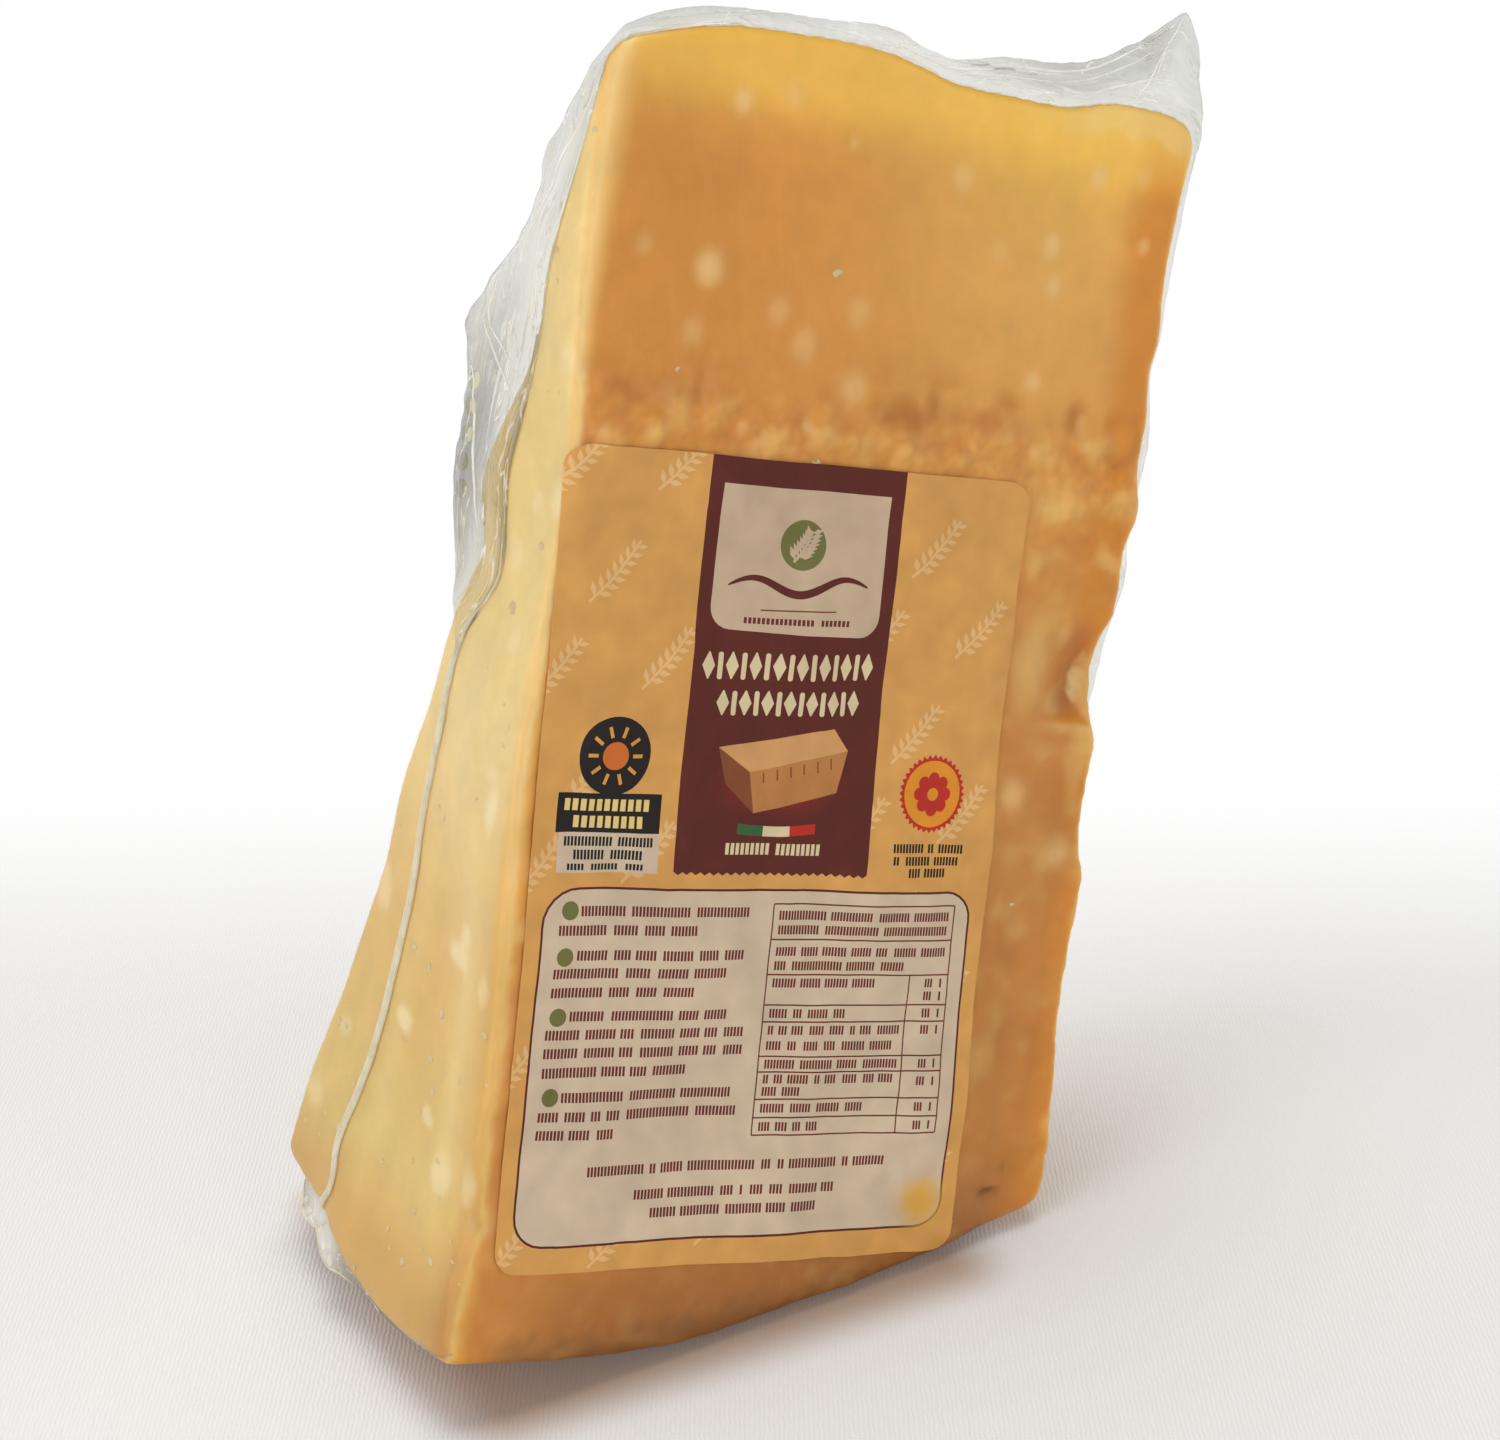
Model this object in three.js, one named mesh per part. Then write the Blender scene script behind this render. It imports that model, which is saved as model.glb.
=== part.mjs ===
/**
 * A wedge of aged hard cheese, vacuum packed in clear film, with a paper label on its front.
 *
 * The wedge is a sector of half a cheese wheel: two cut faces meet at a thin apex, the left face
 * is where the wheel was halved, the right face is the wheel's flat side and the bottom is its
 * barrelled rind. It stands on that rind, so it leans over to the right until its weight lies
 * above the place where the rind meets the ground.
 *
 * The pieces are the cheese, the loose margin of the film bag, which stands off the cheese as a
 * fin along its seam, and the label. Film that clings to the cheese has no thickness of its own.
 *
 * Millimetres. In the wedge's own frame the origin is on the wheel's axis at the left face, x
 * runs along that axis to the right, y from the front cut face to the back one, and z up from the
 * rind to the apex. Each finished shape is then turned over to the right by the lean.
 */
import * as THREE from 'three';
import { mergeVertices } from 'three/addons/utils/BufferGeometryUtils.js';

const { clamp, degToRad, lerp, smoothstep } = THREE.MathUtils;

// Driving dimensions.
const WHEEL_RADIUS = 205;
const WEDGE_WIDTH = 110;
const WEDGE_ANGLE = degToRad(21.4);
const LEAN = degToRad(17.2);
const NOSE_HALF_THICKNESS = 2.2;
const EDGE_RADIUS = 3;
const GROUND_FLAT_DEPTH = 0.5;
const LABEL_WIDTH = 86;
const LABEL_HEIGHT = 132;
const LABEL_THICKNESS = 0.6;
const LABEL_CORNER_RADIUS = 4;
const LABEL_TURN = degToRad(1.9);
const LABEL_CENTRE = { x: 46.3, down: 124.5 };
const FILM_THICKNESS = 1.1;

// Clear air left between the cheese and the pieces that lie on it, more where they go round an edge.
const LABEL_GAP = 0.5;
const LABEL_EDGE_GAP = 0.9;
const FILM_GAP = 0.7;
const FILM_CORNER_GAP = 0.98;

// How fine the shapes are: the cheese's cells across its width, its thickness and its height, the
// label's cells, crowded towards its lower edge, and the film's rings and rows.
const CHEESE_CELLS = { x: 22, y: 10, z: 38 };
const EDGE_MIDDLE_LINE = 0.45;
const LABEL_CELLS = { across: 14, down: 24 };
const LABEL_CROWDING = 1.35;
const FILM_STEP = 4.5;
const FILM_ROWS = 3;

const HALF_ANGLE = WEDGE_ANGLE / 2;

// Edges of the wedge, each a smooth curve through [place, size].
const RIND_RADIUS = [[0, WHEEL_RADIUS], [28, 204.8], [46, 202.1], [67, 195.8], [88, 189.2], [110, 180]];
const CREST_HEIGHT = [
  [0, 0], [5, 2.7], [15, 6.4], [24, 7.8], [44, 8], [52, 6.9], [63, 4.5], [104, 4.9], [110, 3.4],
];

// Relief of the front and back faces. The front is smooth above and crumbly below.
const SMOOTH_RELIEF = 0.15;
const CRUMBLY_RELIEF = 0.6;
const CRUMBLY_DEPTH = { from: 48, to: 78 };
const BACK_RELIEF = 0.9;
const BREAK_LINE = { z: -58, reach: 6, height: 0.6, rippleLength: 5 };

// The left face's slow wave and what is broken out of its back edge and its front one, and the
// right face's: a knob and a notch on its front edge, a shoulder by the apex and a heel by the rind.
const LEFT_WAVE = { height: 0.9, length: 14 };
const LEFT_RELIEF = 0.4;
const BACK_CHIPS = [
  { z: -82, reach: 9, inward: 12, depth: 3.6 },
  { z: -46, reach: 8, inward: 6, depth: 1.8 },
];
const FRONT_NICK = { z: -180, reach: 6, inward: 6, depth: 1.4 };
const RIGHT_WAVE = { height: 0.5, length: 9 };
const RIGHT_SET_BACK = 1.5;
const RIGHT_KNOB = { z: -58, reach: 6, inward: 16, depth: -1.6 };
const RIGHT_NOTCH = { z: -88, reach: 8, inward: 16, depth: 4.4 };
const NOTCH_IN_FRONT = { z: -89, reach: 9, inward: 11, depth: 3.2 };
const SHOULDER = { from: -37, to: -28, height: 2.4 };
const HEEL = { from: 140, to: 170, height: 1.4 };

// The seam on the left face, y over z, and how far the fin of loose film stands out of the cheese:
// over z up the left face, over x along the apex and over z down the right face.
const SEAM_LINE = [
  [-204, 16], [-180, 12.5], [-158, 8.8], [-130, 14.5], [-108, 8], [-75, 4.2], [-50, 5.5], [0, 0],
];
const LEFT_FIN = [
  [-208, 6], [-202, 7], [-194, 6.8], [-188, 6], [-181, 3.4], [-170, 2.6], [-112, 2.6],
  [-88, 5.6], [-70, 8.4], [-55, 10.2], [-45, 12.2], [-40, 10], [-28, 5.2], [-16, 5.5], [-8, 3.2], [0, 2.6],
];
const CREST_FIN = [
  [0, 2.6], [14, 2.2], [40, 3], [49, 2], [62, 4], [80, 6.4], [92, 11.5], [101, 18], [107, 10], [111, 1.4],
];
const RIGHT_FIN = [[-118, 2], [-96, 2.4], [-60, 3.4], [-35, 2.6], [-12, 1.8], [0, 1.6]];

// The fin's course, in quarter turns from straight down through left, up and right: round the
// rind's corner, as it leans over onto the apex, and round the apex's right corner. Down the right
// face the seam drifts towards the front, to this share of the half thickness.
const RIND_CORNER_TURNS = [-0.3, 0.1, 0.4, 0.7];
const APEX_TURNS = { from: 1.4, to: 2, over: 20 };
const APEX_CORNER_TURNS = [2.2, 2.5, 2.8];
const RIGHT_DRIFT = { share: 0.6, over: 30 };
const FREE_EDGE_SWAY = 0.16;
const SWAY_PER_RING = 1.1;
const FREE_EDGE_THINNING = 0.2;

/** Height at `place` of a smooth curve through points of [place, height], level past its ends. */
function curveThrough(points, place) {
  const last = points.length - 1;
  const right = clamp(points.findIndex(([at]) => at >= place), 1, last);
  const i = place > points[last][0] ? last - 1 : right - 1;
  const slopeAt = (k) => {
    const before = points[Math.max(k - 1, 0)];
    const after = points[Math.min(k + 1, last)];
    return (after[1] - before[1]) / (after[0] - before[0]);
  };
  const span = points[i + 1][0] - points[i][0];
  const t = clamp((place - points[i][0]) / span, 0, 1);
  const rise = points[i + 1][1] - points[i][1];
  const ease = t * t * (3 - 2 * t);
  const startPull = slopeAt(i) * span * t * (1 - t) ** 2;
  const endPull = slopeAt(i + 1) * span * t * t * (1 - t);
  return points[i][1] + rise * ease + startPull - endPull;
}

/** A smooth hump of height 1 at `centre` that dies away over `reach`. */
function hump(place, centre, reach) {
  return Math.exp(-(((place - centre) / reach) ** 2));
}

/** Soft unevenness between about -1 and 1, like a broken or hand-cut face: crossed waves. */
function unevenness(a, b, phase) {
  let sum = 0;
  for (let wave = 1; wave <= 6; wave += 1) {
    const heading = 2.4 * wave + phase;
    const along = a * Math.cos(heading) + b * Math.sin(heading);
    sum += Math.sin(along * (0.07 + 0.024 * wave) + 5 * wave * phase);
  }
  return sum / 3;
}

/** Half the thickness between the two cut faces at height z, never less than the blunt apex. */
function halfThickness(z) {
  const plane = -z * Math.tan(HALF_ANGLE);
  return (plane + Math.hypot(plane, 2 * NOSE_HALF_THICKNESS)) / 2;
}

/** How deep a hollow is at height z, `fromEdge` away from the edge that it is broken out of. */
function hollow({ z: centre, reach, inward, depth }, z, fromEdge) {
  return depth * hump(z, centre, reach) * hump(fromEdge, 0, inward);
}

/** How far the front face stands proud of its plane. */
function frontRelief(x, z) {
  const crumbly = smoothstep(-z, CRUMBLY_DEPTH.from, CRUMBLY_DEPTH.to);
  const relief = lerp(SMOOTH_RELIEF, CRUMBLY_RELIEF, crumbly) * unevenness(x, z, 1);
  const ripple = 1 + 0.5 * Math.sin(x / BREAK_LINE.rippleLength);
  const breakLine = BREAK_LINE.height * hump(z, BREAK_LINE.z, BREAK_LINE.reach) * ripple;
  return relief + breakLine - hollow(NOTCH_IN_FRONT, z, WEDGE_WIDTH - x);
}

function backRelief(x, z) {
  return BACK_RELIEF * unevenness(x, z, 2);
}

/** The cut left face, with two chips out of its back edge and a nick in its front one. */
function leftFace(y, z) {
  const half = halfThickness(z);
  const chips = BACK_CHIPS.reduce((sum, chip) => sum + hollow(chip, z, half - y), 0);
  const nick = hollow(FRONT_NICK, z, half + y);
  const wave = LEFT_WAVE.height * Math.sin(z / LEFT_WAVE.length);
  return wave + LEFT_RELIEF * unevenness(y, z, 3) + chips + nick;
}

/** The wheel's flat side, a little proud near the apex and the rind, and notched in front. */
function rightFace(y, z) {
  const fromFront = halfThickness(z) + y;
  const shoulder = SHOULDER.height * smoothstep(z, SHOULDER.from, SHOULDER.to);
  const heel = HEEL.height * smoothstep(-z, HEEL.from, HEEL.to);
  const wave = RIGHT_WAVE.height * Math.sin(z / RIGHT_WAVE.length);
  const broken = hollow(RIGHT_KNOB, z, fromFront) + hollow(RIGHT_NOTCH, z, fromFront);
  return WEDGE_WIDTH - RIGHT_SET_BACK + shoulder + heel + wave - broken;
}

/**
 * Distance of grid line `line` from the start of a side of the given length, and how deep it lies
 * in the side's rounded ends: -1 at the start, 1 at the end and 0 between them.
 */
function gridLine(line, lines, length, radius) {
  const fromEnd = Math.min(line, lines - line);
  const even = radius + (length - 2 * radius) * (fromEnd - 2) / (lines - 4);
  const inset = [0, EDGE_MIDDLE_LINE * radius, radius][fromEnd] ?? even;
  const rounding = Math.max(0, 1 - inset / radius);
  return line * 2 > lines ? [length - inset, rounding] : [inset, -rounding];
}

/** A point of the cheese, from its grid lines across, through and down the wedge. */
function cheesePoint(column, layer, row) {
  const [across, roundX] = gridLine(column, CHEESE_CELLS.x, WEDGE_WIDTH, EDGE_RADIUS);
  const [down, roundZ] = gridLine(row, CHEESE_CELLS.z, WHEEL_RADIUS, EDGE_RADIUS);
  const crest = curveThrough(CREST_HEIGHT, across);
  const rind = curveThrough(RIND_RADIUS, across);
  const faceZ = lerp(crest, -rind * Math.cos(HALF_ANGLE), down / WHEEL_RADIUS);
  const half = halfThickness(faceZ);
  const radiusY = Math.min(EDGE_RADIUS, 0.8 * half);
  const [through, roundY] = gridLine(layer, CHEESE_CELLS.y, 2 * half, radiusY);
  const side = through / half - 1;
  const rindZ = -Math.sqrt(rind ** 2 - (side * rind * Math.sin(HALF_ANGLE)) ** 2);
  const z = lerp(crest, rindZ, down / WHEEL_RADIUS);
  const y = side * (half + (side < 0 ? frontRelief(across, z) : backRelief(across, z)));
  const x = lerp(leftFace(y, z), rightFace(y, z), across / WEDGE_WIDTH);
  const tuck = Math.min(0, 1 / Math.hypot(roundX, roundY, roundZ) - 1);
  return new THREE.Vector3(
    x + tuck * roundX * EDGE_RADIUS,
    y + tuck * roundY * radiusY,
    z - tuck * roundZ * EDGE_RADIUS,
  );
}

/** A closed box of cells across, through and down, its vertices shared and placed by `point`. */
function shapedBox(columns, layers, rows, point) {
  const box = new THREE.BoxGeometry(columns, layers, rows, columns, layers, rows);
  box.deleteAttribute('normal');
  box.deleteAttribute('uv');
  const geometry = mergeVertices(box);
  const place = geometry.attributes.position;
  for (let i = 0; i < place.count; i += 1) {
    const column = Math.round(place.getX(i) + columns / 2);
    const layer = Math.round(place.getY(i) + layers / 2);
    const row = Math.round(rows / 2 - place.getZ(i));
    place.setXYZ(i, ...point(column, layer, row).toArray());
  }
  return geometry;
}

/** A point `lift` off the front face, `down` along it from the axis, going on round the rind's edge. */
function onFront(x, down, lift) {
  const drop = down * Math.cos(HALF_ANGLE);
  const edgeDrop = curveThrough(RIND_RADIUS, x) * Math.cos(HALF_ANGLE) - EDGE_RADIUS;
  const turn = Math.max(0, drop - edgeDrop) / EDGE_RADIUS;
  const z = -Math.min(drop, edgeDrop);
  const centreY = EDGE_RADIUS - halfThickness(z) - frontRelief(x, z);
  const reach = EDGE_RADIUS + lift + LABEL_EDGE_GAP * Math.min(turn, 1);
  return new THREE.Vector3(x, centreY - reach * Math.cos(turn), z - reach * Math.sin(turn));
}

/** A point of the label, whose four corners are rounded by pulling them in towards their centres. */
function labelPoint(column, layer, row) {
  const across = (column / LABEL_CELLS.across - 0.5) * LABEL_WIDTH;
  const down = (0.5 - (1 - row / LABEL_CELLS.down) ** LABEL_CROWDING) * LABEL_HEIGHT;
  const innerHalfWidth = LABEL_WIDTH / 2 - LABEL_CORNER_RADIUS;
  const innerHalfHeight = LABEL_HEIGHT / 2 - LABEL_CORNER_RADIUS;
  const innerX = clamp(across, -innerHalfWidth, innerHalfWidth);
  const innerY = clamp(down, -innerHalfHeight, innerHalfHeight);
  const outside = Math.hypot(across - innerX, down - innerY);
  const pull = outside > LABEL_CORNER_RADIUS ? LABEL_CORNER_RADIUS / outside : 1;
  const flat = new THREE.Vector2(
    innerX + (across - innerX) * pull,
    innerY + (down - innerY) * pull,
  );
  flat.rotateAround(new THREE.Vector2(), -LABEL_TURN);
  const lift = LABEL_GAP + (layer === 0 ? LABEL_THICKNESS : 0);
  return onFront(LABEL_CENTRE.x + flat.x, LABEL_CENTRE.down + flat.y, lift);
}

/** A place of the film's fin: its foot, the way it points and its height there. */
function finPlace(x, y, z, quarterTurns, height) {
  const turn = quarterTurns * Math.PI / 2;
  const outward = new THREE.Vector3(-Math.sin(turn), 0, -Math.cos(turn));
  return { foot: new THREE.Vector3(x, y, z), outward, height };
}

/** Places round a rounded corner with its centre at (x, y, z). The fin's height goes by its foot. */
function cornerPlaces(x, y, z, turns, heightAt) {
  return turns.map((quarterTurns) => {
    const turn = quarterTurns * Math.PI / 2;
    const footX = x - (EDGE_RADIUS + FILM_CORNER_GAP) * Math.sin(turn);
    const footZ = z - (EDGE_RADIUS + FILM_CORNER_GAP) * Math.cos(turn);
    return finPlace(footX, y, footZ, quarterTurns, heightAt({ x: footX, z: footZ }));
  });
}

/** Out from under the rind's corner and up the left face. */
function leftPlaces() {
  const rindY = SEAM_LINE[0][1];
  const rindZ = EDGE_RADIUS - Math.sqrt(WHEEL_RADIUS ** 2 - rindY ** 2);
  const rindX = EDGE_RADIUS + leftFace(rindY, rindZ);
  const heightAt = (foot) => curveThrough(LEFT_FIN, foot.z);
  const places = cornerPlaces(rindX, rindY, rindZ, RIND_CORNER_TURNS, heightAt);
  for (let z = rindZ; z < -EDGE_RADIUS; z += FILM_STEP) {
    const y = curveThrough(SEAM_LINE, z);
    places.push(finPlace(leftFace(y, z) - FILM_GAP, y, z, 1, heightAt({ z })));
  }
  return places;
}

/** Along the apex and round its right corner. */
function apexPlaces() {
  const places = [];
  for (let x = 1; x < WEDGE_WIDTH - EDGE_RADIUS; x += FILM_STEP) {
    const z = curveThrough(CREST_HEIGHT, x) + FILM_GAP;
    const turns = lerp(APEX_TURNS.from, APEX_TURNS.to, smoothstep(x, 0, APEX_TURNS.over));
    places.push(finPlace(x, 0, z, turns, curveThrough(CREST_FIN, x)));
  }
  const cornerX = rightFace(0, 0) - EDGE_RADIUS;
  const cornerZ = curveThrough(CREST_HEIGHT, cornerX) - EDGE_RADIUS;
  const heightAt = (foot) => curveThrough(CREST_FIN, foot.x);
  return [...places, ...cornerPlaces(cornerX, 0, cornerZ, APEX_CORNER_TURNS, heightAt)];
}

/** Down the right face, as far as the fin goes. */
function rightPlaces() {
  const places = [];
  for (let z = -EDGE_RADIUS; z > RIGHT_FIN[0][0]; z -= FILM_STEP) {
    const y = -RIGHT_DRIFT.share * halfThickness(z) * smoothstep(-z, 0, RIGHT_DRIFT.over);
    places.push(finPlace(rightFace(y, z) + FILM_GAP, y, z, 3, curveThrough(RIGHT_FIN, z)));
  }
  return places;
}

/** The loose film as one ribbon that stands on the seam, thin and wavy towards its free edge. */
function filmFin() {
  const ring = 2 * (FILM_ROWS + 1);
  const points = [];
  [...leftPlaces(), ...apexPlaces(), ...rightPlaces()].forEach(({ foot, outward, height }, i) => {
    for (let k = 0; k < ring; k += 1) {
      const isFront = k <= FILM_ROWS;
      const rise = (isFront ? k : ring - 1 - k) / FILM_ROWS;
      const sway = FREE_EDGE_SWAY * height * rise * rise * Math.sin(i * SWAY_PER_RING);
      const half = FILM_THICKNESS / 2 * (1 - FREE_EDGE_THINNING * rise);
      const point = foot.clone().addScaledVector(outward, height * rise);
      point.y += sway + (isFront ? -half : half);
      points.push(point);
    }
  });
  return ribbon(points, ring);
}

/** A closed tube through rings of points, with a flat cap on each end. */
function ribbon(points, ring) {
  const rings = points.length / ring;
  const faces = [];
  for (let i = 0; i + 1 < rings; i += 1) {
    for (let k = 0; k < ring; k += 1) {
      const [a, b] = [i * ring + k, i * ring + (k + 1) % ring];
      faces.push(a, b + ring, b, a, a + ring, b + ring);
    }
  }
  for (let k = 0; k < ring / 2 - 1; k += 1) {
    for (const first of [0, (rings - 1) * ring]) {
      const [a, b] = [first + k, first + k + 1];
      const [c, d] = [first + ring - 2 - k, first + ring - 1 - k];
      faces.push(...(first === 0 ? [a, b, c, a, c, d] : [a, d, c, a, c, b]));
    }
  }
  const geometry = new THREE.BufferGeometry().setFromPoints(points);
  geometry.setIndex(faces);
  return geometry;
}

/** Presses flat whatever reaches below the ground. */
function flattenedBelow(geometry, level) {
  const place = geometry.attributes.position;
  for (let i = 0; i < place.count; i += 1) {
    place.setZ(i, Math.max(place.getZ(i), level));
  }
  geometry.computeBoundingBox();
  return geometry;
}

const cheeseShape = shapedBox(CHEESE_CELLS.x, CHEESE_CELLS.y, CHEESE_CELLS.z, cheesePoint).rotateY(LEAN);
cheeseShape.computeBoundingBox();
const ground = cheeseShape.boundingBox.min.z + GROUND_FLAT_DEPTH;

const cheese = new THREE.Mesh(
  flattenedBelow(cheeseShape, ground),
  new THREE.MeshStandardMaterial({ color: 0xe0a850, roughness: 0.5 }),
);
cheese.name = 'cheese_wedge';

const film = new THREE.Mesh(
  filmFin().rotateY(LEAN),
  new THREE.MeshStandardMaterial({ color: 0xe6e6de, roughness: 0.15, transparent: true, opacity: 0.35 }),
);
film.name = 'film_bag';

const label = new THREE.Mesh(
  shapedBox(LABEL_CELLS.across, 1, LABEL_CELLS.down, labelPoint).rotateY(LEAN),
  new THREE.MeshStandardMaterial({ color: 0xe8b364, roughness: 0.6 }),
);
label.name = 'label';

const pack = new THREE.Group();
pack.add(cheese, film, label);

// The origin is under the middle of the pack, on the ground.
const box = new THREE.Box3().setFromObject(pack);
const middle = box.getCenter(new THREE.Vector3());
pack.position.set(-middle.x, -middle.y, -box.min.z);

export default pack;
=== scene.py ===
import math
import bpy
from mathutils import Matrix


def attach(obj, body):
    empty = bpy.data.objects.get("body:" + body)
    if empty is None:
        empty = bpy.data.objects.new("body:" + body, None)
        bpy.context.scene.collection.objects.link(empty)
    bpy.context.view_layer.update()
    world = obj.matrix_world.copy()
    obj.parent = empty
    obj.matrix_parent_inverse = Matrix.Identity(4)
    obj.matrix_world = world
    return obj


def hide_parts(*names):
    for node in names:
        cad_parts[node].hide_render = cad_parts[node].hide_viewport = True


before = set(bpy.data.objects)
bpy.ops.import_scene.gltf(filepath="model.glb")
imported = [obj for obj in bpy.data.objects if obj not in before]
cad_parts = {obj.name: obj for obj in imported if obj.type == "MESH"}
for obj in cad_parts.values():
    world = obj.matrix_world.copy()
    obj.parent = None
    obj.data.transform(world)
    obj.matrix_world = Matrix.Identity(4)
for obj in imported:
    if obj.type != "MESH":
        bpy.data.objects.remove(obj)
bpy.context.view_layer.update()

from types import SimpleNamespace

import bmesh
import bpy
import numpy as np
from mathutils import Matrix, Vector, geometry, noise
from mathutils.bvhtree import BVHTree

# ---- Camera ----------------------------------------------------------------------------------
# A long lens in front of the pack and to its left, a little above its top, looking down at it and
# held slightly askew.

CAMERA_PLACE = Vector((-0.2077, -0.4224, 0.2806))
CAMERA_RIGHT = Vector((0.88918, -0.45465, -0.05145))
CAMERA_UP = Vector((0.21280, 0.31137, 0.92615))
LENS_MM = 72
SENSOR_MM = 36

camera_data = bpy.data.cameras.new("camera")
camera_data.lens = LENS_MM
camera_data.sensor_width = SENSOR_MM
camera = bpy.data.objects.new("camera", camera_data)
bpy.context.scene.collection.objects.link(camera)
camera_turn = Matrix((CAMERA_RIGHT, CAMERA_UP, CAMERA_RIGHT.cross(CAMERA_UP))).transposed()
camera.matrix_world = Matrix.Translation(CAMERA_PLACE) @ camera_turn.to_4x4()
bpy.context.scene.camera = camera

# ---- Cheese ----------------------------------------------------------------------------------
# A wedge of aged hard cheese, a sector of half a wheel, cut on its two long faces and on the left,
# where the wheel was halved. The paste is smooth near the apex and breaks into crumbs below it,
# and the right side and the bottom are rind, which the wedge stands on, leaning to the left.

# Sizes are millimetres in the upright wedge's own frame: x along the wheel's axis from the left
# face, y from the front to the back, and z up from the rind to the apex, which is at 0.
LEAN = math.radians(17.2)
LEAN_MATRIX = np.array(Matrix.Rotation(LEAN, 3, "Y"))
WEDGE_ORIGIN = np.array((-20.304, -0.383, 206.350))
HALF_ANGLE = math.radians(10.7)
WHEEL_RADIUS = 205
WEDGE_WIDTH = 110
HEEL_DROP = 1.9
VOXEL = 0.00092
RELAXING_ROUNDS = 8


def to_wedge(points):
    """Places in the row's frame, in metres, to the wedge's frame, in millimetres."""
    return (np.asarray(points) * 1000 - WEDGE_ORIGIN) @ LEAN_MATRIX


def to_row(points):
    return (np.asarray(points) @ LEAN_MATRIX.T + WEDGE_ORIGIN) / 1000


def srgb(red, green, blue):
    """A colour from 0 to 255 as it looks on a screen, to linear light."""
    shown = np.array((red, green, blue)) / 255
    return np.where(shown < 0.04045, shown / 12.92, ((shown + 0.055) / 1.055) ** 2.4)


def rises(values, start, end):
    """0 below start, 1 above end, and smooth between them."""
    t = np.clip((values - start) / (end - start), 0, 1)
    return t * t * (3 - 2 * t)


def hump(values, centre, reach):
    return np.exp(-(((values - centre) / reach) ** 2))


def curve_through(knots, places):
    """A smooth curve through knots of (place, height), level past its ends."""
    at, height = np.array(knots, dtype=float).T
    slope = np.gradient(height, at)
    i = np.clip(np.searchsorted(at, places) - 1, 0, len(at) - 2)
    span = at[i + 1] - at[i]
    t = np.clip((places - at[i]) / span, 0, 1)
    start = height[i] * (1 + 2 * t) * (1 - t) ** 2 + slope[i] * span * t * (1 - t) ** 2
    return start + height[i + 1] * t * t * (3 - 2 * t) - slope[i + 1] * span * t * t * (1 - t)


def waves(points, size, shift=0.0, stretch=(1, 1, 1)):
    """Smooth noise of about that grain size at each point, from -1 to 1."""
    places = points / (np.array(stretch) * size) + shift
    return np.array([noise.noise(Vector(place)) for place in places])


def grains(points, size, shift=0.0):
    """Rounded lumps packed side by side, 1 in the middle of each and 0 in the gaps."""
    places = points / size + shift
    near = np.array([noise.voronoi(Vector(place))[0][:2] for place in places])
    return np.clip((near[:, 1] - near[:, 0]) * 1.6, 0, 1)


def read_all(items, field, width, kind=float):
    """One field of all the vertices, edges or corners of a mesh, as rows of that width."""
    flat = np.empty(len(items) * width, dtype=kind)
    items.foreach_get(field, flat)
    return flat.reshape(-1, width)


def move_to(mesh, points):
    mesh.vertices.foreach_set("co", np.asarray(points, dtype=np.float32).ravel())
    mesh.update()


def relaxed(points, ends, rounds, backward=-0.52):
    """Points drawn towards their neighbours, and by turns away again so that the shape keeps its size."""
    count = np.bincount(ends.ravel(), minlength=len(points))
    for _ in range(rounds):
        for step in (0.5, backward):
            middle = np.stack([
                np.bincount(ends[:, 0], points[ends[:, 1], k], len(points))
                + np.bincount(ends[:, 1], points[ends[:, 0], k], len(points))
                for k in range(3)
            ], axis=1) / count[:, None]
            points = points + step * (middle - points)
    return points


def keep_on_points(mesh, name, values):
    """Keeps a number or a vector for each point of the mesh, for its material or its nodes to read."""
    values = np.asarray(values, dtype=np.float32)
    kind, field = ("FLOAT", "value") if values.ndim == 1 else ("FLOAT_VECTOR", "vector")
    mesh.attributes.new(name, kind, "POINT").data.foreach_set(field, values.ravel())


def new_piece(name, mesh):
    piece = bpy.data.objects.new(name, mesh)
    bpy.context.scene.collection.objects.link(piece)
    return piece


def evaluated_mesh(piece):
    """The piece's mesh with its modifiers applied, and the modifiers taken off."""
    graph = bpy.context.evaluated_depsgraph_get()
    mesh = bpy.data.meshes.new_from_object(piece.evaluated_get(graph))
    piece.modifiers.clear()
    return mesh


def fine_shell(name, node):
    """A copy of a CAD node's shape as one even net of small square faces."""
    net = bmesh.new()
    net.from_mesh(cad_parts[node].data)
    bmesh.ops.remove_doubles(net, verts=net.verts, dist=1e-6)
    mesh = bpy.data.meshes.new(name)
    net.to_mesh(mesh)
    net.free()
    piece = new_piece(name, mesh)
    remesh = piece.modifiers.new("even net", "REMESH")
    remesh.mode = "VOXEL"
    remesh.voxel_size = VOXEL
    remesh.use_smooth_shade = True
    piece.data = evaluated_mesh(piece)
    piece.data.materials.clear()
    return piece


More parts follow.
